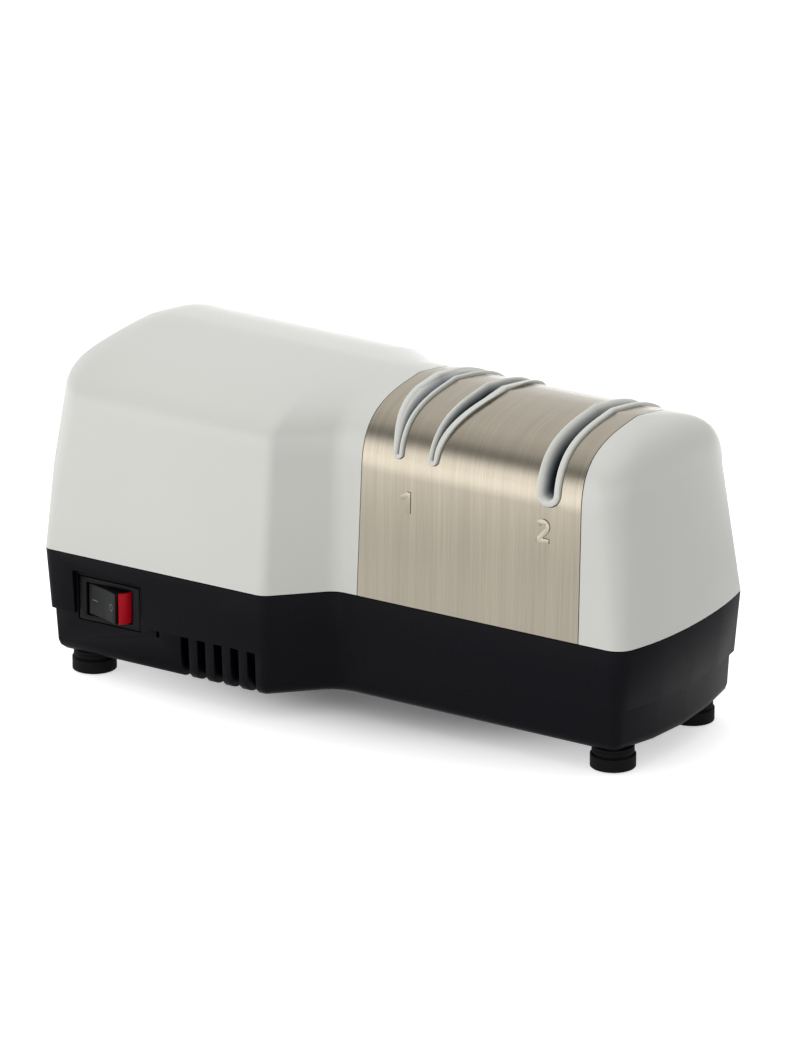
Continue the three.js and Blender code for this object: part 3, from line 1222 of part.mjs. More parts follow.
const firstStage = assembly('first_stage', FIRST_STAGE_X, 0, SHAFT_HEIGHT);
add(firstStage, 'disc_left', abrasiveDisc(-1), ABRASIVE);
add(firstStage, 'disc_right', abrasiveDisc(1), ABRASIVE);
add(firstStage, 'disc_spring', discSpring(), SHAFT_STEEL);
add(firstStage, 'drive_pin_left', drivePin(-1), SHAFT_STEEL);
add(firstStage, 'drive_pin_right', drivePin(1), SHAFT_STEEL);
add(firstStage, 'shaft_pedestal', pedestal(), ZINC);
add(firstStage, 'bearing_outboard', bearing(OUTBOARD_X), BRONZE);
add(firstStage, 'filings_magnet', magnet(), MAGNET_BLACK);

const secondStage = assembly('second_stage', SECOND_STAGE_X, 0, FINE_HEIGHT);
add(secondStage, 'fine_carrier', fineCarrier(), WHITE_PLASTIC);
add(secondStage, 'fine_axle', fineAxle(), SHAFT_STEEL);
add(secondStage, 'fine_wheel_left', fineWheel(-1), ABRASIVE);
add(secondStage, 'fine_wheel_right', fineWheel(1), ABRASIVE);

export default sharpener;
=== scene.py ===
"""Electric knife sharpener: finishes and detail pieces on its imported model, laid out as a Blender add-on."""

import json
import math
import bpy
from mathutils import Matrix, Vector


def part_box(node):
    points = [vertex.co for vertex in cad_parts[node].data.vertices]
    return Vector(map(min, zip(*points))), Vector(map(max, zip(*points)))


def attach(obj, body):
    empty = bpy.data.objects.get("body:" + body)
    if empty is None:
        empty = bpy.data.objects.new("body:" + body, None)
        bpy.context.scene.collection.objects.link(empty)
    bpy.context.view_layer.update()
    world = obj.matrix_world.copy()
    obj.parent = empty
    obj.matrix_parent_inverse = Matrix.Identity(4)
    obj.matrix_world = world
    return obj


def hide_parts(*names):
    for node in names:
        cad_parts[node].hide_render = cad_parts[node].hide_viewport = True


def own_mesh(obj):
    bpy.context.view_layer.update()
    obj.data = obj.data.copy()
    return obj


bl_info = {
    "name": "Electric Knife Sharpener",
    "version": (1, 0, 0),
    "blender": (4, 5, 0),
    "location": "3D View > Sidebar > Sharpener",
    "description": "Finishes, detail pieces and studio of an electric knife sharpener",
    "category": "Object",
}

from functools import partial

import bmesh
import bpy
from bpy.props import FloatProperty, FloatVectorProperty, PointerProperty
from mathutils import Matrix, Vector
from mathutils.bvhtree import BVHTree

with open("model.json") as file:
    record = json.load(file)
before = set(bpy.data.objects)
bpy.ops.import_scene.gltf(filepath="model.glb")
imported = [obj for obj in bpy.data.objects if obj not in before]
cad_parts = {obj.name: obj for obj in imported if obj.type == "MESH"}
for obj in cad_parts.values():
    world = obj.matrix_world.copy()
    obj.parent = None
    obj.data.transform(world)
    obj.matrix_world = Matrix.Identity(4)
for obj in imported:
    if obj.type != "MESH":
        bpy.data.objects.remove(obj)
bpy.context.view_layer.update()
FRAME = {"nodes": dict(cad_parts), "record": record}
MM = 0.001

# Sizes of the moulded body in millimetres, as in the model's source
LENGTH = 213
MOTOR_WIDTH = 106.4
HEAD_WIDTH = 72.4
WAIST_X = -11.2
WAIST_LENGTH = 16.5
WAIST_RADII = (6, 8)
LEFT_RADII = (3.5, 9)
LEFT_BOW = 2
LEFT_BULGE = 0.9
BULGE_RISE = 0.55
SEAM = 42.6
WALL = 2.5
LEFT_DRAFT = 2.8
RIGHT_DRAFT = 3.4
SHOULDERS = {"motor": 88, "head": 84, "left": 97, "right": 88}
FULLNESS = {"motor": 0.64, "head": 0.68}
TOP_FALL = {"motor": 0.137, "head": 0.125}
MOTOR_TOP = 109.6
HEAD_TOP = 106.9
ROOF_POWER = 2.5
CROWN = 0.9
RIDGE_MARGINS = (10, 15.5)
RIDGE_RADIUS = 6
RIDGE_BOW = 2
SPINE_OFFSET = 3
SIDES = {
    "front": {"radii": (7, 11), "bow": 5.6, "motor": 4.6, "head": 1, "ridge": 10.5},
    "back": {"radii": (4.5, 11), "bow": 4.2, "motor": 8, "head": 5, "ridge": 4},
}
COVER_X = (4.9, 85.7)
COVER_LEAN = 2
COVER_REAR = 12.5
COVER_SHEET = 0.6
FIRST_STAGE_X = 25.8
SLOT_SPACING = 9.4
SLOT_FOOT = 3.3
SLOT_FLARE = 5.4
FLARE_POWER = 2
SLOT_LEAN = 0.6
SLIT_SHOULDER = 1.2
SLOT_FLOOR = 90
SLOT_LIP = 1
LIP_WIDTH = 1.2
FOOT_ROUND = 1.5
FOOT_FLAT = 0.02
SHAFT_HEIGHT = 70
SECOND_STAGE_X = 74.2
FINE_HEIGHT = 80
FINE_SLOT = 8.2
FINE_FLOOR = 84.6
FINE_LIP = 2
GAP = 0.3

# How far cutters run past what they cut, and the reach of a guide's opening as a share of the head
OVERRUN = 4
SLOT_OVERRUN = 5
OPENING_REACH = 0.7

# Edges sharper than these angles stay sharp in shading
SHELL_CREASE, SMALL_CREASE, GUIDE_CREASE, SPRING_CREASE = 28, 30, 60, 50

# How near points are one point, in a new piece and in a solid of the model
TOUCHING = 0.001
WELD = 0.005

# Steps along the outline, in the same proportion at the corners as in the source, and round the slots
END_STEPS, CORNER_STEPS, MOTOR_STEPS, FILLET_STEPS, HEAD_STEPS, SHOULDER_STEPS = 7, 14, 6, 8, 26, 24
SLOT_STEPS, FOOT_STEPS, FINE_FOOT_STEPS = 16, 8, 28
TURN_STEPS, ARC_STEPS = 64, 16

ALONG_X, ALONG_Y, UPWARDS = Vector((1, 0, 0)), Vector((0, 1, 0)), Vector((0, 0, 1))


# Shader maths


class Signal:
    """A socket whose arithmetic adds Math nodes."""

    def __init__(self, nodes, socket):
        self.nodes = nodes
        self.socket = socket

    def maths(self, operation, *values):
        return self.nodes.node("Math", {"operation": operation}, dict(enumerate(values)))

    def __add__(self, other):
        return self.maths("ADD", self, other)

    __radd__ = __add__

    def __mul__(self, other):
        return self.maths("MULTIPLY", self, other)

    __rmul__ = __mul__

    def __sub__(self, other):
        return self.maths("SUBTRACT", self, other)

    def __rsub__(self, other):
        return self.maths("SUBTRACT", other, self)

    def larger(self, other):
        return self.maths("MAXIMUM", self, other)

    def between(self, low, high):
        """0 below the low value and 1 above the high one, with a smooth rise."""
        values = {"Value": self, "From Min": low, "From Max": high}
        return self.nodes.node("MapRange", {"interpolation_type": "SMOOTHSTEP"}, values)


class Nodes:
    """A node tree whose nodes all come from one method."""

    def __init__(self, tree):
        self.tree = tree

    def feed(self, socket, value):
        """Links a signal to a socket, or sets the socket's value."""
        if isinstance(value, Signal):
            self.tree.links.new(value.socket, socket)
        elif hasattr(value, "__len__") and len(value) == 3 and socket.type == "RGBA":
            socket.default_value = (*value, 1)
        else:
            socket.default_value = value

    def node(self, kind, settings=None, values=None, output=0):
        """One output of a new node, with its settings and the values or links of its sockets."""
        made = self.tree.nodes.new("ShaderNode" + kind)
        for key, value in (settings or {}).items():
            if key == "stops":
                for i, (place, colour) in enumerate(value):
                    stop = made.color_ramp.elements[i] if i < 2 else made.color_ramp.elements.new(place)
                    stop.position, stop.color = place, (*colour, 1)
            else:
                setattr(made, key, value)
        for key, value in (values or {}).items():
            self.feed(made.inputs[key], value)
        return Signal(self, made.outputs[output])

    def place(self, stretch=(1, 1, 1)):
        """Object coordinates, stretched along each axis."""
        spot = self.node("TexCoord", output="Object")
        return self.node("Mapping", None, {"Vector": spot, "Scale": stretch})

    def noise(self, scale, detail=2, roughness=0.5, stretch=(1, 1, 1)):
        values = {"Vector": self.place(stretch), "Scale": scale, "Detail": detail, "Roughness": roughness}
        return self.node("TexNoise", None, values, "Fac")

    def mix(self, factor, first, second):
        """Two colours mixed; 6, 7 and 2 are the colour sockets of the node."""
        return self.node("Mix", {"data_type": "RGBA"}, {0: factor, 6: first, 7: second}, 2)


class Finish(Nodes):
    """One material and the nodes that make its surface."""

    def __init__(self, name, **surface):
        self.material = bpy.data.materials.new(name)
        self.material.use_nodes = True
        super().__init__(self.material.node_tree)
        self.shader = self.tree.nodes["Principled BSDF"]
        for socket, value in surface.items():
            self.feed(self.shader.inputs[socket.replace("_", " ")], value)

    def bump(self, height, distance, strength=1.0):
        values = {"Height": height, "Distance": distance, "Strength": strength}
        self.feed(self.shader.inputs["Normal"], self.node("Bump", None, values))

    def colour(self, value):
        self.feed(self.shader.inputs["Base Color"], value)

    def roughness(self, value):
        self.feed(self.shader.inputs["Roughness"], value)


def linear(red, green, blue):
    """A colour written as it is seen, from 0 to 255, turned to the shader's scale."""
    shares = (value / 255 for value in (red, green, blue))
    return tuple(s / 12.92 if s <= 0.04045 else ((s + 0.055) / 1.055) ** 2.4 for s in shares)


def seen_rays(nodes):
    """1 for what is seen directly or through something clear."""
    return nodes.node("LightPath", output="Is Camera Ray").larger(
        nodes.node("LightPath", output="Is Transmission Ray")
    )


def shade(colour, amount):
    """A darker or lighter shade of a colour."""
    return tuple(min(1, channel * amount) for channel in colour)


# Finishes


def moulded_shell(look):
    """Pale satin plastic with faint moulding waves and a fine skin."""
    finish = Finish("moulded_shell", Specular_IOR_Level=0.5)
    waves = finish.noise(14, 2)
    skin = finish.noise(1400, 2, 0.6)
    finish.colour(finish.mix(waves.between(0.3, 0.7), shade(look.shell_colour, 0.97), look.shell_colour))
    finish.roughness(0.26 + 0.06 * waves + 0.02 * skin)
    finish.bump(waves, 0.00003)


def slot_lining(look):
    """Shell plastic that darkens down a slot: painted shade, standing in for the shade deep in the slot."""
    finish = Finish("slot_lining", Specular_IOR_Level=0.45)
    depth = finish.node("Attribute", {"attribute_name": "slot_depth"}, output="Fac")
    smear = finish.noise(160, 2)
    stops = (
        (0.0, look.shell_colour), (0.14, look.shell_colour), (0.3, linear(158, 164, 170)),
        (0.46, linear(86, 92, 101)), (0.62, linear(32, 35, 40)), (0.8, linear(14, 15, 18)),
    )
    # Painted shade: the ramp darkens the colour with depth into the slot, with a faint random smear.
    finish.colour(finish.node("ValToRGB", {"stops": stops}, {0: depth * 0.14 + smear * 0.04 - 0.02}))
    finish.roughness(0.34 + 0.1 * smear)
    finish.bump(smear, 0.00003)


def spark_textured_base(look):
    """Near-black plastic with the fine matte grain of a spark-eroded mould."""
    finish = Finish("spark_textured_base", Specular_IOR_Level=0.09)
    grain = finish.noise(1500, 3, 0.65)
    cloud = finish.noise(20, 2)
    finish.colour(finish.mix(cloud.between(0.25, 0.75), look.base_colour, shade(look.base_colour, 1.3)))
    finish.roughness(0.35 + 0.12 * grain + 0.06 * cloud)
    finish.bump(grain, 0.00006)


def brushed_streaks(finish):
    """Straight brush marks that cross the sheet from front to back, so they change mostly along X."""
    fine = finish.noise(1700, 4, 0.8, (1, 0.012, 0.012))
    broad = finish.noise(240, 3, 0.7, (1, 0.03, 0.03))
    return fine * 0.65 + broad * 0.35


def brushed_cover(look):
    """Warm steel sheet with fine straight brushing."""
    finish = Finish("brushed_cover", Metallic=1.0)
    streaks = brushed_streaks(finish)
    handling = finish.noise(30, 2)
    finish.colour(
        finish.mix(streaks.between(0.3, 0.7), shade(look.steel_colour, 0.9), shade(look.steel_colour, 1.07))
    )
    finish.roughness(0.15 + 0.08 * streaks + 0.04 * handling)
    finish.bump(streaks, 0.00001, look.brushing)


def raised_numeral(look):
    """The same steel, rubbed brighter where the numerals are pressed out of it."""
    finish = Finish("raised_numeral", Metallic=1.0)
    streaks = brushed_streaks(finish)
    finish.colour(finish.mix(streaks, shade(look.steel_colour, 0.95), shade(look.steel_colour, 1.15)))
    finish.roughness(0.3 + 0.1 * streaks)
    finish.bump(streaks, 0.00001)


def moulded_rubber():
    """Matte black rubber with a fine grain."""
    finish = Finish("moulded_rubber", Specular_IOR_Level=0.12)
    grain = finish.noise(900, 3, 0.7)
    finish.colour(finish.mix(grain, linear(10, 10, 12), linear(19, 19, 21)))
    finish.roughness(0.62 + 0.2 * grain)
    finish.bump(grain, 0.00008)


def smooth_plastic(name, colour, roughness):
    """Moulded switch plastic with a slight sheen."""
    finish = Finish(name, Specular_IOR_Level=0.13)
    skin = finish.noise(1100, 2, 0.6)
    cloud = finish.noise(160, 2)
    finish.colour(finish.mix(cloud, shade(colour, 0.9), shade(colour, 1.06)))
    finish.roughness(roughness - 0.05 + 0.1 * skin)
    finish.bump(skin, 0.00003)


def turned_metal(name, colour, roughness, grain=900, depth=0.00002):
    """Worked metal with fine tool marks and slight staining."""
    finish = Finish(name, Metallic=1.0)
    marks = finish.noise(grain, 3, 0.7, (1, 0.2, 0.2))
    stain_and_painted_shade = finish.noise(70, 3)
    finish.colour(finish.mix(stain_and_painted_shade.between(0.3, 0.75), shade(colour, 0.82), colour))
    finish.roughness(roughness - 0.06 + 0.14 * marks)
    finish.bump(marks, depth)


# Radians a metre, for electrical sheets of 0.5 mm and wire rows of 0.7 mm
SHEET_LINES = 12566.0
WIRE_ROWS = 9000.0


def laminations():
    """Stacked electrical sheet, with its edges seen as fine lines along X."""
    finish = Finish("laminations", Metallic=0.9)
    across = finish.node("SeparateXYZ", None, {"Vector": finish.place()}, "X")
    line = finish.node("Math", {"operation": "SINE"}, {0: across * SHEET_LINES}).between(-0.6, 0.4)
    rust = finish.noise(220, 3)
    finish.colour(finish.mix(rust.between(0.45, 0.7), linear(112, 113, 116), linear(120, 100, 84)))
    finish.roughness(0.45 + 0.2 * rust)
    finish.bump(line, 0.00012)


def winding():
    """Enamelled copper wire, wound in rows that run round the coil."""
    finish = Finish("winding", Metallic=0.85)
    across = finish.node("SeparateXYZ", None, {"Vector": finish.place()}, "Y")
    row = finish.node("Math", {"operation": "SINE"}, {0: across * WIRE_ROWS})
    tone = finish.noise(90, 2)
    finish.colour(finish.mix(tone, linear(150, 78, 42), linear(190, 108, 60)))
    finish.roughness(0.32 + 0.12 * tone)
    finish.bump(row, 0.0002)


def bonded_abrasive():
    """Bonded abrasive grain with bright sparkling points."""
    finish = Finish("bonded_abrasive", Metallic=0.35)
    grain = finish.noise(2600, 3, 0.8)
    worn = finish.noise(60, 2)
    finish.colour(finish.mix(grain.between(0.4, 0.65), linear(84, 86, 88), linear(150, 150, 148)))
    finish.roughness(0.6 + 0.25 * worn)
    finish.bump(grain, 0.00012)


def sintered_magnet():
    """Dark, dull ceramic."""
    finish = Finish("sintered_magnet", Metallic=0.2)
    grain = finish.noise(1200, 3, 0.7)
    finish.colour(finish.mix(grain, linear(34, 34, 36), linear(56, 56, 58)))
    finish.roughness(0.6 + 0.2 * grain)
    finish.bump(grain, 0.00006)


def make_finishes():
    """Makes the object's materials, once."""
    if "moulded_shell" in bpy.data.materials:
        return
    look = bpy.context.scene.sharpener_look
    for make in (moulded_shell, slot_lining, spark_textured_base, brushed_cover, raised_numeral):
        make(look)
    for make in (moulded_rubber, laminations, winding, bonded_abrasive, sintered_magnet):
        make()
    smooth_plastic("rocker_plastic", look.switch_colour, 0.36)
    smooth_plastic("bezel_plastic", shade(look.switch_colour, 0.4), 0.4)
    smooth_plastic("flank_plastic", look.red_colour, 0.34)
    smooth_plastic("printed_mark", linear(112, 113, 114), 0.5)
    smooth_plastic("fan_plastic", linear(201, 202, 198), 0.45)
    turned_metal("bright_brass", linear(190, 160, 92), 0.32)
    turned_metal("cast_zinc", linear(154, 157, 160), 0.42, 500, 0.00005)
    turned_metal("shaft_steel", linear(170, 173, 176), 0.25)
    turned_metal("sintered_bronze", linear(146, 114, 72), 0.45, 1400, 0.00004)


# Mesh helpers, in millimetres until a piece is finished


def lerp(a, b, share):
    return a + (b - a) * share


def smooth(t):
    """A smooth rise from 0 to 1."""
    t = min(1, max(0, t))
    return t * t * (3 - 2 * t)


def millimetres(length):
    """A property's length in millimetres, without the rounding that it is stored with."""
    return round(length / MM, 4)


def object_from(name, build):
    """A new object from a bmesh in metres."""
    mesh = bpy.data.meshes.new(name)
    build.to_mesh(mesh)
    build.free()
    piece = bpy.data.objects.new(name, mesh)
    bpy.context.scene.collection.objects.link(piece)
    return piece


def piece_from(name, build):
    """A new object from a bmesh in millimetres, with its faces turned outwards."""
    bmesh.ops.remove_doubles(build, verts=build.verts, dist=TOUCHING)
    bmesh.ops.dissolve_degenerate(build, edges=build.edges, dist=TOUCHING / 2)
    bmesh.ops.recalc_face_normals(build, faces=build.faces)
    bmesh.ops.scale(build, vec=(MM, MM, MM), verts=build.verts)
    return object_from(name, build)


def settle(piece):
    """Applies a piece's modifiers."""
    bpy.context.view_layer.update()
    evaluated = piece.evaluated_get(bpy.context.evaluated_depsgraph_get())
    finished = bpy.data.meshes.new_from_object(evaluated)
    rough = piece.data
    piece.modifiers.clear()
    piece.data = finished
    bpy.data.meshes.remove(rough)


def carve(piece, cutter, operation="DIFFERENCE", keep=False):
    """Cuts, joins or intersects a piece with another, which goes unless it is kept."""
    tool = piece.modifiers.new("carve", "BOOLEAN")
    tool.operation, tool.solver, tool.object = operation, "EXACT", cutter
    settle(piece)
    if not keep:
        bpy.data.objects.remove(cutter)


def round_edges(piece, width, segments, angle):
    """Rounds the edges of a piece that are sharper than the angle."""
    tool = piece.modifiers.new("rounds", "BEVEL")
    tool.width, tool.segments, tool.limit_method = width * MM, segments, "ANGLE"
    tool.angle_limit, tool.miter_outer = math.radians(angle), "MITER_ARC"
    tool.use_clamp_overlap, tool.harden_normals = True, False
    settle(piece)


def soften(piece, angle):
    """Smooth shading, apart from edges sharper than the angle."""
    piece.data.shade_smooth()
    piece.data.set_sharp_from_angle(angle=math.radians(angle))


def dress(piece, body, material, replaces):
    """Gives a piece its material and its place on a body."""
    make_finishes()
    piece.data.materials.clear()
    piece.data.materials.append(bpy.data.materials[material])
    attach(piece, body)
    if replaces:
        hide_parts(*replaces)


def prism(outline, front, back):
    """An outline in X and Z pushed along Y."""
    build = bmesh.new()
    face = build.faces.new([build.verts.new((x, front, z)) for x, z in outline])
    pushed = bmesh.ops.extrude_face_region(build, geom=[face])["geom"]
    moved = [item for item in pushed if isinstance(item, bmesh.types.BMVert)]
    bmesh.ops.translate(build, vec=(0, back - front, 0), verts=moved)
    return piece_from("section", build)


def turned(name, profile, axis, centre):
    """A full turn of a closed profile of (radius, along) points about an axis."""
    build = bmesh.new()
    points = [build.verts.new((radius, 0, along)) for radius, along in profile]
    edges = [build.edges.new(pair) for pair in zip(points, points[1:] + points[:1])]
    spin = {"cent": (0, 0, 0), "axis": UPWARDS, "angle": 2 * math.pi, "steps": TURN_STEPS, "use_merge": True}
    bmesh.ops.spin(build, geom=points + edges, **spin)
    turn = UPWARDS.rotation_difference(axis).to_matrix().to_4x4()
    bmesh.ops.transform(build, matrix=Matrix.Translation(centre) @ turn, verts=build.verts)
    return piece_from(name, build)


# Outline of the body


def rounded(corner, before, after, radius, steps):
    """The round that takes a path from one direction to the next at a corner."""
    turn = math.acos(before.dot(after))
    side = math.copysign(1, before.x * after.y - before.y * after.x)
    start = corner - before * radius * math.tan(turn / 2)
    centre = start + Vector((-before.y, before.x)) * side * radius
    points = []
    for i in range(steps + 1):
        arm = start - centre
        arm.rotate(Matrix.Rotation(side * turn * i / steps, 2))
        points.append(centre + arm)
    return points


def bowed_end(middle, half, bow, radius):
    """A bowed end from its middle to the corner round that meets the side, running towards -Y."""
    outward = math.copysign(1, middle)
    corner = Vector((middle - outward * bow, -half))
    down = Vector((-outward * 2 * bow, -half)).normalized()
    corner_round = rounded(corner, down, Vector((-outward, 0)), radius, CORNER_STEPS)
    start, end = Vector((middle, 0)), corner_round[0]
    pull = Vector((middle, end.y + (middle - end.x) * down.y / down.x))
    bow_line = []
    for i in range(END_STEPS):
        t = i / END_STEPS
        bow_line.append(start * (1 - t) ** 2 + pull * 2 * t * (1 - t) + end * t * t)
    return bow_line + corner_round


def stretch(a, b, steps):
    """The points between two ends of a straight stretch."""
    return [a.lerp(b, (i + 1) / steps) for i in range(steps - 1)]


def half_outline(inset, side, rise=0, bulge=0):
    """One long side from the motor end's middle to the head end's middle; rise is 1 at the shoulder."""
    side = SIDES[side]
    turn = math.atan2((MOTOR_WIDTH - HEAD_WIDTH) / 2, WAIST_LENGTH)
    shift = inset * math.tan(turn / 2)
    left_radius, right_radius = lerp(*LEFT_RADII, rise), lerp(*side["radii"], rise)
    motor_half = MOTOR_WIDTH / 2 - inset - side["motor"] * rise
    head_half = HEAD_WIDTH / 2 - inset - side["head"] * rise
    left = bowed_end(
        -LENGTH / 2 + inset + LEFT_DRAFT * rise - bulge,
        motor_half,
        LEFT_BOW,
        max(left_radius - inset, left_radius / 4),
    )
    right = bowed_end(
        LENGTH / 2 - inset - RIGHT_DRAFT * rise,
        head_half,
        side["bow"],
        max(right_radius - inset, right_radius / 4),
    )[::-1]
    outer = Vector((WAIST_X - WAIST_LENGTH / 2 - shift, -motor_half))
    inner = Vector((WAIST_X + WAIST_LENGTH / 2 - shift, -head_half))
    ahead, slope = Vector((1, 0)), (inner - outer).normalized()
    outer_radius = max(WAIST_RADII[0] - inset, WAIST_RADII[0] / 4)
    first = rounded(outer, ahead, slope, outer_radius, FILLET_STEPS)
    second = rounded(inner, slope, ahead, WAIST_RADII[1] + inset, FILLET_STEPS)
    motor_side = stretch(left[-1], first[0], MOTOR_STEPS)
    head_side = stretch(second[-1], right[0], HEAD_STEPS)
    return left, motor_side + first + second + head_side, right


def ring_of(front, back):
    """A closed ring from the front half and the back half turned over to +Y."""
    turned_over = [Vector((point.x, -point.y, point.z)) for point in back[1:-1]]
    return front + turned_over[::-1]


def plan_ring(inset, height):
    """The level outline of the upright walls."""
    halves = []
    for side in ("front", "back"):
        path = sum(half_outline(inset, side), [])
        halves.append([Vector((point.x, point.y, height)) for point in path])
    return ring_of(*halves)


def bulge_ring(inset, shoulders):
    """The ring part of the way up to the shoulder, where the motor end bulges."""
    halves = []
    for side, row in zip(("front", "back"), shoulders):
        path = sum(half_outline(inset, side, BULGE_RISE, LEFT_BULGE), [])
        halves.append([Vector((*point, lerp(SEAM, high.z, BULGE_RISE))) for point, high in zip(path, row)])
    return ring_of(*halves)


def roof_height(x):
    """The height of the roof's ridge, which rises towards the motor end."""
    start = -LENGTH / 2 + RIDGE_MARGINS[0] + RIDGE_RADIUS
    share = min(1, max(0, (LENGTH / 2 - x) / (LENGTH / 2 - start)))
    return HEAD_TOP + (MOTOR_TOP - HEAD_TOP) * share**ROOF_POWER


def ridge_half(side, seam):
    """One side of the flat band along the roof, point for point with the seam outline."""
    half = SIDES[side]["ridge"]
    radius = min(RIDGE_RADIUS, half / 2)
    left = bowed_end(-LENGTH / 2 + RIDGE_MARGINS[0], half, RIDGE_BOW, radius)
    right = bowed_end(LENGTH / 2 - RIDGE_MARGINS[1], half, RIDGE_BOW, radius)[::-1]
    start, end = seam[0][-1].x, seam[2][0].x
    along = [
        Vector((lerp(left[-1].x, right[0].x, (point.x - start) / (end - start)), -half)) for point in seam[1]
    ]
    return left, along, right


def shoulder_rows(inset, side):
    """The rows of one side of the housing, from the shoulder up to the flat band of the roof."""
    seam = half_outline(0, "front")
    seam_path = sum(seam, [])
    wall = half_outline(inset, side, 1)
    path = sum(wall, [])
    ridge = sum(ridge_half(side, seam), [])
    last_left, first_right, last = len(wall[0]) - 1, len(path) - len(wall[2]), len(path) - 1
    rows = [[] for _ in range(SHOULDER_STEPS + 1)]
    for i, foot in enumerate(path):
        start_x = WAIST_X - WAIST_LENGTH
        motor = 1 - smooth((seam_path[i].x - start_x) / (WAIST_LENGTH * 3))
        left = max(0, 1 - i / last_left)
        right = max(0, (i - first_right) / (last - first_right))
        ends = SHOULDERS["left"] * left + SHOULDERS["right"] * right
        low = ends + lerp(SHOULDERS["head"], SHOULDERS["motor"], motor) * (1 - left - right) - inset / 2
        high = roof_height(ridge[i].x) - CROWN - inset
        full = lerp(FULLNESS["head"], FULLNESS["motor"], motor)
        start, end = Vector((*foot, low)), Vector((*ridge[i], high))
        rise = Vector((*foot, lerp(low, high, full)))
        run = end.lerp(start, full)
        run.z = high - lerp(TOP_FALL["head"], TOP_FALL["motor"], motor) * (ridge[i] - foot).length * full
        for step, row in enumerate(rows):
            t = step / SHOULDER_STEPS
            u = 1 - t
            row.append(start * u**3 + rise * 3 * u * u * t + run * 3 * u * t * t + end * t**3)
    return rows


def spine_half(offset):
    """The middle line of the roof, point for point with the outline, whose ends fan out from it."""
    left, middle, right = ridge_half("front", half_outline(0, "front"))
    xs = [left[-1].x] * len(left) + [point.x for point in middle] + [right[0].x] * len(right)
    return [Vector((x, offset, roof_height(x))) for x in xs]


def loft(name, rings):
    """A closed skin made by extruding a ring through the rings that follow it."""
    build = bmesh.new()
    loop = [build.verts.new(point) for point in rings[0]]
    edges = [build.edges.new(pair) for pair in zip(loop, loop[1:] + loop[:1])]
    bmesh.ops.contextual_create(build, geom=edges)
    for ring in rings[1:]:
        made = bmesh.ops.extrude_edge_only(build, edges=edges)["geom"]
        fresh = {item for item in made if isinstance(item, bmesh.types.BMVert)}
        loop = [
            next(edge.other_vert(vert) for edge in vert.link_edges if edge.other_vert(vert) in fresh)
            for vert in loop
        ]
        for vert, point in zip(loop, ring):
            vert.co = point
        edges = [item for item in made if isinstance(item, bmesh.types.BMEdge) and set(item.verts) <= fresh]
    return piece_from(name, build)


def body_shell(name, inset, floor=SEAM):
    """The housing's outside moved inwards by an inset, from a floor level up to the roof."""
    rows = list(zip(shoulder_rows(inset, "front"), shoulder_rows(inset, "back")))
    drop = Vector((0, 0, inset))
    spine = ring_of(*([point - drop for point in spine_half(y)] for y in (-SPINE_OFFSET, SPINE_OFFSET)))
    rings = [plan_ring(inset, SEAM), bulge_ring(inset, rows[0]), *(ring_of(*pair) for pair in rows), spine]
    if floor < SEAM:
        rings.insert(0, plan_ring(inset, floor))
    return loft(name, rings)


# Knife slots and the steel cover


def flared_outline(outwards, inset, shoulder=0):
    """A first-stage slot: nearly upright on the side of the discs, flared on the other, with a round foot."""
    upright = FIRST_STAGE_X + outwards * (SLOT_SPACING / 2 + inset)
    floor = SLOT_FLOOR + inset
    width = SLOT_FOOT - inset * 2
    radius = min(FOOT_ROUND - inset, width / 2 - FOOT_FLAT)
    top = HEAD_TOP + SLOT_LIP + SLOT_OVERRUN
    points = [(upright + outwards * SLOT_LEAN, top)]
    for i in range(SLOT_STEPS, 0, -1):
        share = i / SLOT_STEPS
        z = lerp(floor, HEAD_TOP, share)
        if z > floor + radius:
            points.append((upright + outwards * SLOT_LEAN * share, z))
    for middle, start in ((radius, math.pi), (width - radius, 1.5 * math.pi)):
        for turn in range(FOOT_STEPS + 1):
            angle = start + math.pi / 2 * turn / FOOT_STEPS
            x = upright + outwards * (middle + radius * math.cos(angle))
            points.append((x, floor + radius * (1 + math.sin(angle))))
    for i in range(1, SLOT_STEPS + 1):
        share = i / SLOT_STEPS
        z = lerp(floor, HEAD_TOP, share)
        if z > floor + radius:
            reach = width + SLOT_FLARE * share**FLARE_POWER - shoulder * share
            points.append((upright + outwards * reach, z))
    points.append((points[-1][0], top))
    return points


def straight_outline(inset):
    """The second-stage slot: parallel sides and a round foot."""
    radius, centre = FINE_SLOT / 2 - inset, FINE_FLOOR + FINE_SLOT / 2
    foot = []
    for i in range(FINE_FOOT_STEPS + 1):
        angle = math.pi + math.pi * i / FINE_FOOT_STEPS
        foot.append((SECOND_STAGE_X + radius * math.cos(angle), centre + radius * math.sin(angle)))
    top = HEAD_TOP + SLOT_LIP + SLOT_OVERRUN
    heights = [lerp(centre, top, (i + 1) / SLOT_STEPS) for i in range(SLOT_STEPS)]
    right = [(SECOND_STAGE_X + radius, z) for z in heights]
    left = [(SECOND_STAGE_X - radius, z) for z in reversed(heights)]
    return foot + right + left


# For each guide: its outline at an inset, and the outline of its opening
SLOTS = {
    "slot_guide_left": (partial(flared_outline, -1), flared_outline(-1, LIP_WIDTH, SLIT_SHOULDER)),
    "slot_guide_right": (partial(flared_outline, 1), flared_outline(1, LIP_WIDTH, SLIT_SHOULDER)),
    "slot_guide_fine": (straight_outline, straight_outline(FINE_LIP)),
}

# For each guide: the grain of its even skin, the rounds of its left inner rim and other rims, and how
# fast its painted shade darkens with depth
GUIDE_SKINS = {
    "slot_guide_left": (0.28, 0.8, 0.4, 1),
    "slot_guide_right": (0.28, 0.8, 0.4, 1),
    "slot_guide_fine": (0.36, 1.5, 0.5, 0.6),
}

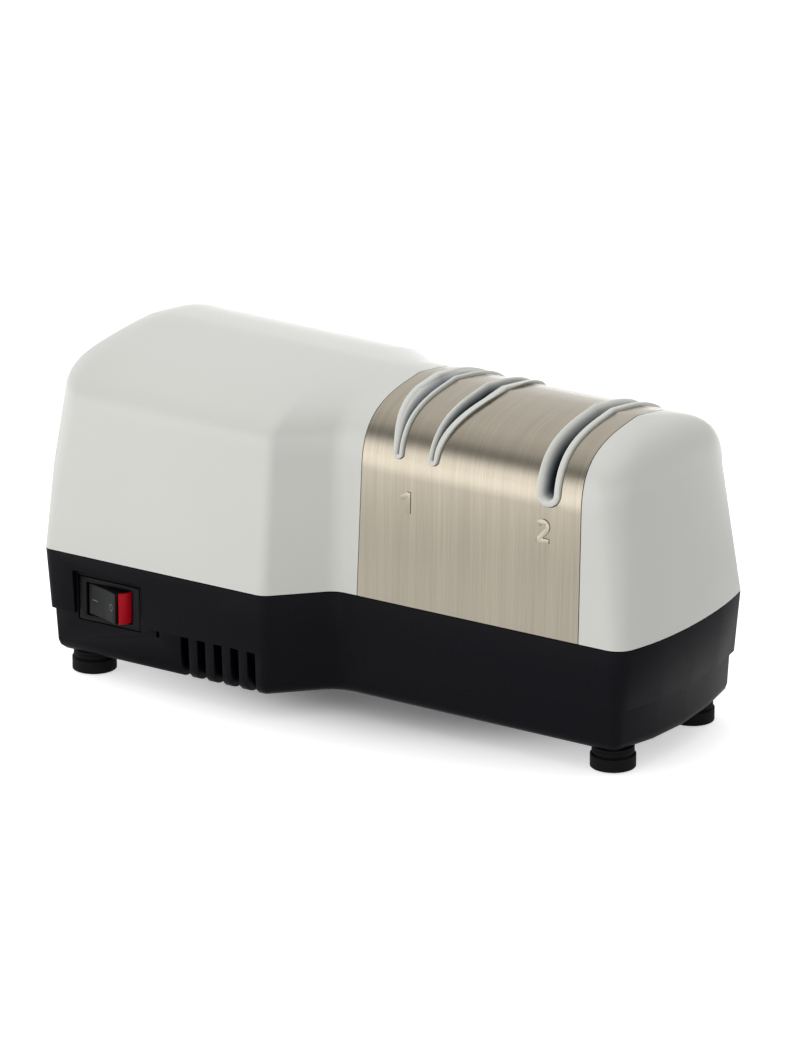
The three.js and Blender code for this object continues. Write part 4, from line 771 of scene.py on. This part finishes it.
# For each guide: the radius, half length, middle and height of the room for what turns under it
TURNING_ROOM = {
    "slot_guide_left": (22.5, 6.8, FIRST_STAGE_X, SHAFT_HEIGHT),
    "slot_guide_right": (22.5, 6.8, FIRST_STAGE_X, SHAFT_HEIGHT),
    "slot_guide_fine": (13.5, 5.4, SECOND_STAGE_X, FINE_HEIGHT),
}

# How fast a rim takes the round of the left one as its wall turns to face left
RIM_TURN = 1.6


def cover_space(grow):
    """The block that holds the cover, grown all round, with the lean of the cover's left edge."""
    top, bottom = MOTOR_TOP + OVERRUN, SEAM - OVERRUN
    lean = COVER_LEAN * (top - SEAM) / (HEAD_TOP - SEAM)
    outline = [
        (COVER_X[0] - grow, bottom),
        (COVER_X[1] + grow, bottom),
        (COVER_X[1] + grow, top),
        (COVER_X[0] + lean - grow, top),
    ]
    return prism(outline, -MOTOR_WIDTH, COVER_REAR + grow)


def build_housing():
    """The moulded shell: hollow, with a recess for the cover and the slots cut through."""
    housing = body_shell("top_housing_moulded", 0)
    carve(housing, body_shell("cutter", WALL, SEAM - OVERRUN))
    recess = cover_space(GAP)
    carve(recess, body_shell("cutter", COVER_SHEET + GAP, SEAM - 2 * OVERRUN))
    carve(housing, recess)
    for outline, _ in SLOTS.values():
        carve(housing, prism(outline(-GAP), -MOTOR_WIDTH, MOTOR_WIDTH))
    soften(housing, SHELL_CREASE)
    dress(housing, "housing", "moulded_shell", ["top_housing"])


def build_cover():
    """The steel sheet over the head, with its slot openings."""
    cover = cover_space(0)
    cover.name = "steel_cover_sheet"
    carve(cover, body_shell("cutter", 0), "INTERSECT")
    carve(cover, body_shell("cutter", COVER_SHEET, SEAM - 2 * OVERRUN))
    for outline, _ in SLOTS.values():
        carve(cover, prism(outline(-GAP), -MOTOR_WIDTH, MOTOR_WIDTH))
    soften(cover, SHELL_CREASE)
    dress(cover, "housing", "brushed_cover", ["steel_cover"])


def build_guides():
    """The pale troughs that line the slots, with lips that stand proud of the cover."""
    proud = body_shell("proud", -SLOT_LIP)
    for node, (outline, opening) in SLOTS.items():
        outside = prism(outline(0), -MOTOR_WIDTH / 2, MOTOR_WIDTH / 2)
        guide = outside.copy()
        guide.data = outside.data.copy()
        guide.name = node + "_moulded"
        bpy.context.scene.collection.objects.link(guide)
        carve(guide, proud, "INTERSECT", keep=True)
        inside = prism(opening, -HEAD_WIDTH * OPENING_REACH, HEAD_WIDTH * OPENING_REACH)
        carve(guide, inside, keep=True)
        radius, half, middle, height = TURNING_ROOM[node]
        room = [(0, -half), (radius, -half), (radius, half), (0, half)]
        carve(guide, turned("cutter", room, ALONG_X, (middle, 0, height)))
        grain, wide, narrow, stain_and_painted_shade = GUIDE_SKINS[node]
        skin = guide.modifiers.new("even skin", "REMESH")
        skin.mode, skin.voxel_size = "VOXEL", grain * MM
        settle(guide)
        round_rim(guide, proud, inside, 1, wide, narrow)
        round_rim(guide, proud, outside, -1, narrow, narrow)
        even = guide.modifiers.new("even", "SMOOTH")
        even.factor, even.iterations = 0.5, 3
        settle(guide)
        # The depth drives the painted shade that darkens the slot lining.
        measure_depth(guide, proud, stain_and_painted_shade)
        soften(guide, GUIDE_CREASE)
        dress(guide, "housing", "slot_lining", [node])
        bpy.data.objects.remove(inside)
        bpy.data.objects.remove(outside)
    bpy.data.objects.remove(proud)


def tree_of(piece):
    return BVHTree.FromObject(piece, bpy.context.evaluated_depsgraph_get())


def round_rim(guide, top, wall, facing, left_radius, radius):
    """Rounds the rim where a guide's top meets a wall; facing is 1 where the wall looks into the guide."""
    tops, walls = tree_of(top), tree_of(wall)
    for vert in guide.data.vertices:
        _, up, _, depth = tops.find_nearest(vert.co)
        if depth > left_radius * MM:
            continue
        _, away, _, reach = walls.find_nearest(vert.co)
        away = away * facing
        reached = lerp(radius, left_radius, smooth(-away.x * RIM_TURN)) * MM
        if max(depth, reach) < reached:
            centre = vert.co - up * (reached - depth) + away * (reached - reach)
            arm = vert.co - centre
            vert.co = centre + arm * (reached / arm.length)


def measure_depth(guide, proud, stain_and_painted_shade):
    """Stores how far each point of a guide lies under the surface of its lips, in millimetres scaled by how
    fast the painted shade darkens.
    """
    tree = tree_of(proud)
    depth = guide.data.attributes.new("slot_depth", "FLOAT", "POINT")
    depths = [tree.find_nearest(vert.co)[3] / MM * stain_and_painted_shade for vert in guide.data.vertices]
    depth.data.foreach_set("value", depths)


# Numerals, marks and turned pieces


def arc(centre, radius, start, end):
    """Points along an arc, with its angles in degrees."""
    angles = [math.radians(lerp(start, end, i / ARC_STEPS)) for i in range(ARC_STEPS + 1)]
    return [(centre[0] + radius * math.cos(angle), centre[1] + radius * math.sin(angle)) for angle in angles]


# Numerals pressed out of the cover's front wall: each one's place, and its strokes as (x, z) points in
# shares of its height. The bow of the 2 runs over the top and down to its base bar.
NUMERALS = {
    "1": ((22.7, 76.4), ([(0.12, -0.5), (0.12, 0.5)], [(0.16, 0.42), (-0.28, 0.16)])),
    "2": ((72.4, 76.3), ([*arc((0, 0.22), 0.25, 168, -38), (-0.24, -0.42)], [(-0.33, -0.42), (0.33, -0.42)])),
}
NUMERAL_ROUND = 0.12
FRONT_WALL_Y = -HEAD_WIDTH / 2
FRONT_LEAN = SIDES["front"]["head"] / (SHOULDERS["head"] - SEAM)

# The rocker: its pivot, tilt at rest, half length, reach and the dish of its face
ROCKER_PIVOT = (-80.3, -48.104, 27.5)
ROCKER_TILT = 18
ROCKER_HALF, ROCKER_REACH, ROCKER_DISH = 7.05, 4.6, 0.5

# Its marks: how far they stand out and reach in, the bar's half height, half width and place, and the
# ring's radii, its stretch along the rocker and upwards, and its place
MARK_OUT, MARK_IN = 0.03, 0.15
BAR_HALF, BAR_X = (1.3, 0.16), -4.1
RING_RADII, RING_STRETCH, RING_X = (1, 0.78), (0.85, 1.25), 4.4


def stroke_solid(points):
    """A flat band along a line of points in X and Z, with square ends, pushed through the wall."""
    sizes = bpy.context.scene.sharpener_sizes
    height, width = millimetres(sizes.numeral_height), millimetres(sizes.stroke_width)
    line = [Vector((x * height, z * height)) for x, z in points]
    left, right = [], []
    for i, point in enumerate(line):
        ahead = (line[min(i + 1, len(line) - 1)] - line[max(i - 1, 0)]).normalized()
        across = Vector((-ahead.y, ahead.x)) * width / 2
        left.append(point + across)
        right.append(point - across)
    return prism(left + right[::-1], -millimetres(sizes.numeral_relief), COVER_SHEET / 2)


def build_numeral(digit):
    """One numeral, standing proud of the cover's front wall and leaning with it."""
    (x, z), strokes = NUMERALS[digit]
    numeral = stroke_solid(strokes[0])
    numeral.name = "cover_numeral_" + digit
    for points in strokes[1:]:
        carve(numeral, stroke_solid(points), "UNION")
    round_edges(numeral, NUMERAL_ROUND, segments=2, angle=50)
    lean = Matrix.Rotation(-math.atan(FRONT_LEAN), 4, "X")
    place = Vector((x, FRONT_WALL_Y + (z - SEAM) * FRONT_LEAN, z)) * MM
    numeral.data.transform(Matrix.Translation(place) @ lean)
    soften(numeral, SMALL_CREASE)
    dress(numeral, "housing", "raised_numeral", ())


def on_rocker(name, build):
    """Presses a flat mark onto the dished face of the rocker and turns it to the tilt at rest."""
    pushed = bmesh.ops.extrude_face_region(build, geom=build.faces[:])["geom"]
    raised = {item for item in pushed if isinstance(item, bmesh.types.BMVert)}
    for vert in build.verts:
        face = ROCKER_REACH - ROCKER_DISH * (1 - (vert.co.x / ROCKER_HALF) ** 2)
        vert.co.y = -face - (MARK_OUT if vert in raised else -MARK_IN)
    turn = Matrix.Rotation(-math.radians(ROCKER_TILT), 4, "Z")
    bmesh.ops.transform(build, matrix=Matrix.Translation(ROCKER_PIVOT) @ turn, verts=build.verts)
    dress(piece_from(name, build), "rocker", "printed_mark", ())


def build_rocker_marks():
    """The bar of the on side and the ring of the off side."""
    upright = Matrix.Rotation(math.pi / 2, 4, "X")
    bar = bmesh.new()
    bmesh.ops.create_grid(bar, x_segments=10, y_segments=1, size=1)
    bmesh.ops.scale(bar, vec=(*BAR_HALF, 1), verts=bar.verts)
    bmesh.ops.transform(bar, matrix=Matrix.Translation((BAR_X, 0, 0)) @ upright, verts=bar.verts)
    on_rocker("rocker_mark_bar", bar)
    ring = bmesh.new()
    for radius in RING_RADII:
        bmesh.ops.create_circle(ring, radius=radius, segments=32)
    bmesh.ops.bridge_loops(ring, edges=ring.edges[:])
    bmesh.ops.scale(ring, vec=(*RING_STRETCH, 1), verts=ring.verts)
    bmesh.ops.transform(ring, matrix=Matrix.Translation((RING_X, 0, 0)) @ upright, verts=ring.verts)
    on_rocker("rocker_mark_ring", ring)


# A foot from its sole up to its collar, as (radius, height), and the radius and start of its peg
FOOT_PROFILE = [
    (0, 0), (5.4, 0), (5.7, 0.35), (7.2, 0.35), (7.2, 4.4), (6.2, 4.6), (6.2, 5.2), (6.7, 5.2),
    (6.7, 6.2), (6.5, 6.3), (6.5, 6.5), (6.7, 6.6), (6.7, 7.3),
]
PEG_RADIUS, PEG_START = 2.6, 7.3

# The bush: radii of its neck and bore, depth of its flange, of the step in its face and of its mouth's
# round, and how far in from the flange's rim the step starts and ends
BUSH_NECK, BUSH_BORE = 5, 3.3
BUSH_FLANGE, BUSH_STEP, BUSH_MOUTH = 1.8, 0.6, (0.5, 0.7)
BUSH_STEP_IN = (1.4, 1.7)


def build_feet():
    """The turned rubber feet, each with a rim, a groove, a collar and a peg."""
    width = millimetres(bpy.context.scene.sharpener_sizes.rubber_round)
    for node in ("foot_front_left", "foot_front_right", "foot_back_left", "foot_back_right"):
        low, high = (Vector(corner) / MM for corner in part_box(node))
        centre = ((low.x + high.x) / 2, (low.y + high.y) / 2, 0)
        peg = [(PEG_RADIUS, PEG_START), (PEG_RADIUS, high.z), (0, high.z)]
        foot = turned(node + "_turned", FOOT_PROFILE + peg, UPWARDS, centre)
        round_edges(foot, width, segments=3, angle=50)
        soften(foot, SMALL_CREASE)
        dress(foot, "housing", "moulded_rubber", [node])


def build_bush():
    """The rubber bush of the cord inlet, with a rounded mouth and a stepped flange."""
    width = millimetres(bpy.context.scene.sharpener_sizes.rubber_round)
    low, high = (Vector(corner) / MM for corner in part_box("cord_inlet_bush"))
    centre = ((low.x + high.x) / 2, 0, (low.z + high.z) / 2)
    flange, face = (high.x - low.x) / 2, high.y
    seat, step = face - BUSH_FLANGE, face - BUSH_STEP
    profile = [
        (BUSH_BORE, low.y), (BUSH_NECK, low.y), (BUSH_NECK, seat), (flange, seat), (flange, step),
        (flange - BUSH_STEP_IN[0], step), (flange - BUSH_STEP_IN[1], face),
        (BUSH_BORE + BUSH_MOUTH[0], face), (BUSH_BORE, face - BUSH_MOUTH[1]),
    ]
    bush = turned("cord_inlet_bush_turned", profile, ALONG_Y, centre)
    round_edges(bush, width, segments=3, angle=35)
    soften(bush, SMALL_CREASE)
    dress(bush, "housing", "moulded_rubber", ["cord_inlet_bush"])


def build_spring():
    """The coil spring in two halves, cut at its middle, both carried by the drive."""
    low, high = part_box("disc_spring")
    middle = (low[0] + high[0]) / 2
    for side, outwards in (("left", -1), ("right", 1)):
        build = bmesh.new()
        build.from_mesh(FRAME["nodes"]["disc_spring"].data)
        bmesh.ops.remove_doubles(build, verts=build.verts, dist=WELD * MM)
        everything = build.verts[:] + build.edges[:] + build.faces[:]
        plane = {"plane_co": (middle, 0, 0), "plane_no": (outwards, 0, 0), "dist": WELD * MM}
        bmesh.ops.bisect_plane(build, geom=everything, clear_inner=True, **plane)
        bmesh.ops.holes_fill(build, edges=[edge for edge in build.edges if edge.is_boundary])
        bmesh.ops.recalc_face_normals(build, faces=build.faces)
        half = object_from("disc_spring_" + side, build)
        soften(half, SPRING_CREASE)
        dress(half, "drive", "shaft_steel", ["disc_spring"])
        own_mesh(half)


# Operators


class SHARPENER_OT_nodes(bpy.types.Operator):
    """Give the solids that stay as they are their finishes and soft edges"""

    bl_idname = "sharpener.nodes"
    bl_label = "Finish the Solids"

    # For each slot: its material and the width of its rounded edges in millimetres
    FINISHES = {
        "black_base": ("spark_textured_base", 0.35),
        "pale_shell": ("moulded_shell", 0.3),
        "brushed_steel": ("brushed_cover", 0.1),
        "foot_rubber": ("moulded_rubber", 0.3),
        "fixing_steel": ("shaft_steel", 0.15),
        "switch_black": ("rocker_plastic", 0.35),
        "switch_red": ("flank_plastic", 0.2),
        "terminal_brass": ("bright_brass", 0.1),
        "lamination": ("laminations", 0.2),
        "copper": ("winding", 1.2),
        "zinc": ("cast_zinc", 0.3),
        "bronze": ("sintered_bronze", 0.2),
        "white_plastic": ("fan_plastic", 0.25),
        "abrasive": ("bonded_abrasive", 0.2),
        "magnet": ("sintered_magnet", 0.3),
    }
    FLAT_ANGLE = math.radians(0.6)
    EDGE_ANGLE = math.radians(38)

    def execute(self, context):
        make_finishes()
        slots = {row["node"]: row["material_slot"] for row in FRAME["record"]["subparts"]}
        for name, solid in FRAME["nodes"].items():
            material, width = self.FINISHES[slots[name]]
            if name == "switch_housing":
                material = "bezel_plastic"
            solid.data.materials.clear()
            solid.data.materials.append(bpy.data.materials[material])
            for polygon in solid.data.polygons:
                polygon.use_smooth = True
            weld = solid.modifiers.new("weld", "WELD")
            weld.merge_threshold = WELD * MM
            flat = solid.modifiers.new("flat faces", "DECIMATE")
            flat.decimate_type, flat.angle_limit = "DISSOLVE", self.FLAT_ANGLE
            edges = solid.modifiers.new("rounds", "BEVEL")
            edges.width, edges.segments, edges.limit_method = width * MM, 2, "ANGLE"
            edges.angle_limit, edges.harden_normals = self.EDGE_ANGLE, True
        return {"FINISHED"}


class SHARPENER_OT_housing(bpy.types.Operator):
    """Build the moulded top housing"""

    bl_idname = "sharpener.housing"
    bl_label = "Top Housing"

    def execute(self, context):
        build_housing()
        return {"FINISHED"}


class SHARPENER_OT_cover(bpy.types.Operator):
    """Build the brushed steel cover with its raised numerals"""

    bl_idname = "sharpener.cover"
    bl_label = "Steel Cover"

    def execute(self, context):
        build_cover()
        for digit in NUMERALS:
            build_numeral(digit)
        return {"FINISHED"}


class SHARPENER_OT_guides(bpy.types.Operator):
    """Build the slot guides"""

    bl_idname = "sharpener.guides"
    bl_label = "Slot Guides"

    def execute(self, context):
        build_guides()
        return {"FINISHED"}


class SHARPENER_OT_spring(bpy.types.Operator):
    """Split the coil spring between the discs into two halves"""

    bl_idname = "sharpener.spring"
    bl_label = "Disc Spring"

    def execute(self, context):
        build_spring()
        return {"FINISHED"}


class SHARPENER_OT_rubber(bpy.types.Operator):
    """Turn the feet and the bush of the cord inlet"""

    bl_idname = "sharpener.rubber"
    bl_label = "Feet and Bush"

    def execute(self, context):
        build_feet()
        build_bush()
        return {"FINISHED"}


class SHARPENER_OT_marks(bpy.types.Operator):
    """Put the on and off marks on the rocker"""

    bl_idname = "sharpener.marks"
    bl_label = "Rocker Marks"

    def execute(self, context):
        build_rocker_marks()
        return {"FINISHED"}


class SHARPENER_OT_stage(bpy.types.Operator):
    """Set up the floor, the lights and the camera"""

    bl_idname = "sharpener.stage"
    bl_label = "Studio"

    # The camera as fitted to the photograph: lens in millimetres, distances in metres, angles in degrees
    LENS, SENSOR, CLIP = 201.34, 36, (0.05, 50)
    CAMERA_PLACE, AZIMUTH, ELEVATION = (0.969, -1.4911, 0.6691), 33.11, 19.12

    # The place and size of each lamp in metres, and the point they face
    KEY_LAMP = ((-1.25, -2.1, 0.75), (2.6, 1.2))
    TOP_LAMP = ((-0.2, 0.2, 1.9), (1.4, 1.4))
    LAMP_TARGET = (0, 0, 0.05)

    # Half the floor's size, in millimetres as in every new mesh
    FLOOR_HALF = 6000

    def execute(self, context):
        studio = context.scene.sharpener_studio
        self.camera(context)
        self.floor(studio)
        self.world(context, studio)
        self.lamp("key", *self.KEY_LAMP, studio.key_power)
        self.lamp("top", *self.TOP_LAMP, studio.top_power)
        return {"FINISHED"}

    def camera(self, context):
        lens = bpy.data.cameras.new("camera")
        lens.lens, lens.sensor_width = self.LENS, self.SENSOR
        lens.clip_start, lens.clip_end = self.CLIP
        camera = bpy.data.objects.new("camera", lens)
        azimuth, elevation = math.radians(self.AZIMUTH), math.radians(self.ELEVATION)
        back = Vector((
            math.sin(azimuth) * math.cos(elevation),
            -math.cos(azimuth) * math.cos(elevation),
            math.sin(elevation),
        ))
        camera.location = self.CAMERA_PLACE
        camera.rotation_euler = (-back).to_track_quat("-Z", "Y").to_euler()
        context.scene.collection.objects.link(camera)
        context.scene.camera = camera

    def floor(self, studio):
        """White to the camera but for the shadow, which the lamps cast and a painted shadow deepens near the
        object; metal sees it dim near by, then dark, then bright.
        """
        build = bmesh.new()
        bmesh.ops.create_grid(build, x_segments=1, y_segments=1, size=self.FLOOR_HALF)
        floor = piece_from("floor", build)
        finish = Finish("studio_floor", Roughness=0.9, Specular_IOR_Level=0.1)
        finish.colour((0.88, 0.88, 0.88))
        shine = finish.node("LightPath", output="Is Glossy Ray")
        # Metres from the middle of the floor, less along the object, and metres beside it
        away = finish.node("VectorMath", {"operation": "LENGTH"}, {0: finish.place((0.6, 1, 1))}, "Value")
        beside = finish.node("SeparateXYZ", None, {"Vector": finish.place()}, "X")
        # Painted shadow: the glow that whitens the floor for the camera fades near the object.
        plain_sight = studio.floor_glow * (0.3 + 0.7 * away.between(0.02, 0.05))
        plain_sight = plain_sight + 0.3 * away.between(0.03, 0.08)
        line = away.between(0.19, 0.23) - away.between(0.25, 0.28)
        in_metal = 0.38 - 0.3 * line + studio.sweep_glow * away.between(0.26, 0.35)
        in_metal = in_metal * (1 - 0.6 * beside.between(0.12, 0.3))
        seen = seen_rays(finish).larger(shine)
        level = plain_sight + (in_metal - plain_sight) * shine
        glow = finish.node("Emission", None, {"Color": (1, 1, 1), "Strength": level})
        plain = Signal(finish, finish.shader.outputs[0])
        lit = finish.node("AddShader", None, {0: plain, 1: glow})
        mixed = finish.node("MixShader", None, {0: seen, 1: plain, 2: lit})
        finish.feed(finish.tree.nodes["Material Output"].inputs["Surface"], mixed)
        floor.data.materials.append(finish.material)

    def world(self, context, studio):
        """White to the camera; metal sees a bright horizon, dim over it in front, and pale walls behind."""
        world = bpy.data.worlds.new("studio")
        context.scene.world = world
        world.use_nodes = True
        sky = Nodes(world.node_tree)
        way = sky.node("TexCoord", output="Generated")
        x, y, z = (sky.node("SeparateXYZ", None, {"Vector": way}, axis) for axis in "XYZ")
        # The light that falls on the object, and what its shiny surfaces see, by the way that a ray takes
        walls = studio.walls - studio.right_fall * x.between(-0.4, 0.6)
        room = walls + (studio.ceiling - walls) * z.between(0.3, 0.85)
        front = 2 - 1.62 * z.between(0.08, 0.56) + 0.5 * z.between(0.58, 0.9)
        shine = front + (1 - front) * y.between(-0.2, 0.25)
        level = room + (shine - room) * sky.node("LightPath", output="Is Glossy Ray")
        level = level + (1 - level) * seen_rays(sky)
        sky.feed(sky.tree.nodes["Background"].inputs["Color"], (1, 1, 1))
        sky.feed(sky.tree.nodes["Background"].inputs["Strength"], level)
        context.scene.view_settings.view_transform = "Standard"

    def lamp(self, name, place, size, power):
        light = bpy.data.lights.new(name, "AREA")
        light.shape, light.size, light.size_y, light.energy = "RECTANGLE", *size, power
        lamp = bpy.data.objects.new(name, light)
        lamp.location = place
        lamp.visible_glossy = False
        aim = Vector(self.LAMP_TARGET) - Vector(place)
        lamp.rotation_euler = aim.to_track_quat("-Z", "Y").to_euler()
        bpy.context.scene.collection.objects.link(lamp)


# What a user would change


class SharpenerLook(bpy.types.PropertyGroup):
    """Colours and finishes."""

    shell_colour: FloatVectorProperty(
        name="Shell", description="Colour of the top housing", subtype="COLOR", default=linear(222, 223, 217)
    )
    base_colour: FloatVectorProperty(
        name="Base", description="Colour of the base tray", subtype="COLOR", default=linear(5, 4, 10)
    )
    steel_colour: FloatVectorProperty(
        name="Steel", description="Colour of the cover", subtype="COLOR", default=linear(168, 160, 145)
    )
    switch_colour: FloatVectorProperty(
        name="Rocker", description="Colour of the switch", subtype="COLOR", default=linear(26, 27, 27)
    )
    red_colour: FloatVectorProperty(
        name="Flank", description="Colour of the rocker's flank", subtype="COLOR", default=linear(196, 14, 34)
    )
    brushing: FloatProperty(
        name="Brushing", description="Depth of the brush marks", default=0.6, min=0, max=1, subtype="FACTOR"
    )


class SharpenerSizes(bpy.types.PropertyGroup):
    """Sizes of the small pieces; those of the body follow the model's source."""

    numeral_height: FloatProperty(
        name="Numeral Height", description="Height of the pressed numerals", default=0.0069, unit="LENGTH"
    )
    stroke_width: FloatProperty(
        name="Stroke", description="Width of a numeral's strokes", default=0.00155, unit="LENGTH"
    )
    numeral_relief: FloatProperty(
        name="Relief", description="How far the numerals stand out", default=0.0004, unit="LENGTH"
    )
    rubber_round: FloatProperty(
        name="Rubber Edges", description="Rounding of the feet and the bush", default=0.0003, unit="LENGTH"
    )


class SharpenerStudio(bpy.types.PropertyGroup):
    """Light levels."""

    key_power: FloatProperty(name="Key", description="Front lamp", default=12, min=0, unit="POWER")
    top_power: FloatProperty(name="Top", description="Top lamp", default=7, min=0, unit="POWER")
    walls: FloatProperty(name="Walls", description="Level of the light around", default=1, min=0)
    right_fall: FloatProperty(name="Right Fall", description="Dimming of the right side", default=0.56, min=0)
    ceiling: FloatProperty(name="Ceiling", description="Level of the light from above", default=0.56, min=0)
    floor_glow: FloatProperty(name="Floor Glow", description="White of the seen floor", default=0.36, min=0)
    sweep_glow: FloatProperty(name="Sweep", description="White of far floor in metal", default=1.05, min=0)


class SHARPENER_PT_panel(bpy.types.Panel):
    """Lists the pieces of the sharpener"""

    bl_label = "Knife Sharpener"
    bl_idname = "SHARPENER_PT_panel"
    bl_space_type = "VIEW_3D"
    bl_region_type = "UI"
    bl_category = "Sharpener"

    def draw(self, context):
        scene = context.scene
        for group in (scene.sharpener_look, scene.sharpener_sizes, scene.sharpener_studio):
            for name in group.__annotations__:
                self.layout.prop(group, name)
        for operator in OPERATORS:
            self.layout.operator(operator.bl_idname)


OPERATORS = (
    SHARPENER_OT_nodes,
    SHARPENER_OT_housing,
    SHARPENER_OT_cover,
    SHARPENER_OT_guides,
    SHARPENER_OT_spring,
    SHARPENER_OT_rubber,
    SHARPENER_OT_marks,
    SHARPENER_OT_stage,
)
CLASSES = (SharpenerLook, SharpenerSizes, SharpenerStudio, *OPERATORS, SHARPENER_PT_panel)


def register():
    for cls in CLASSES:
        bpy.utils.register_class(cls)
    bpy.types.Scene.sharpener_look = PointerProperty(type=SharpenerLook)
    bpy.types.Scene.sharpener_sizes = PointerProperty(type=SharpenerSizes)
    bpy.types.Scene.sharpener_studio = PointerProperty(type=SharpenerStudio)


def unregister():
    del bpy.types.Scene.sharpener_look
    del bpy.types.Scene.sharpener_sizes
    del bpy.types.Scene.sharpener_studio
    for cls in reversed(CLASSES):
        bpy.utils.unregister_class(cls)


def main():
    register()
    bpy.ops.sharpener.stage()
    bpy.ops.sharpener.nodes()
    bpy.ops.sharpener.housing()
    bpy.ops.sharpener.cover()
    bpy.ops.sharpener.guides()
    bpy.ops.sharpener.spring()
    bpy.ops.sharpener.rubber()
    bpy.ops.sharpener.marks()


if __name__ == "__main__":
    main()
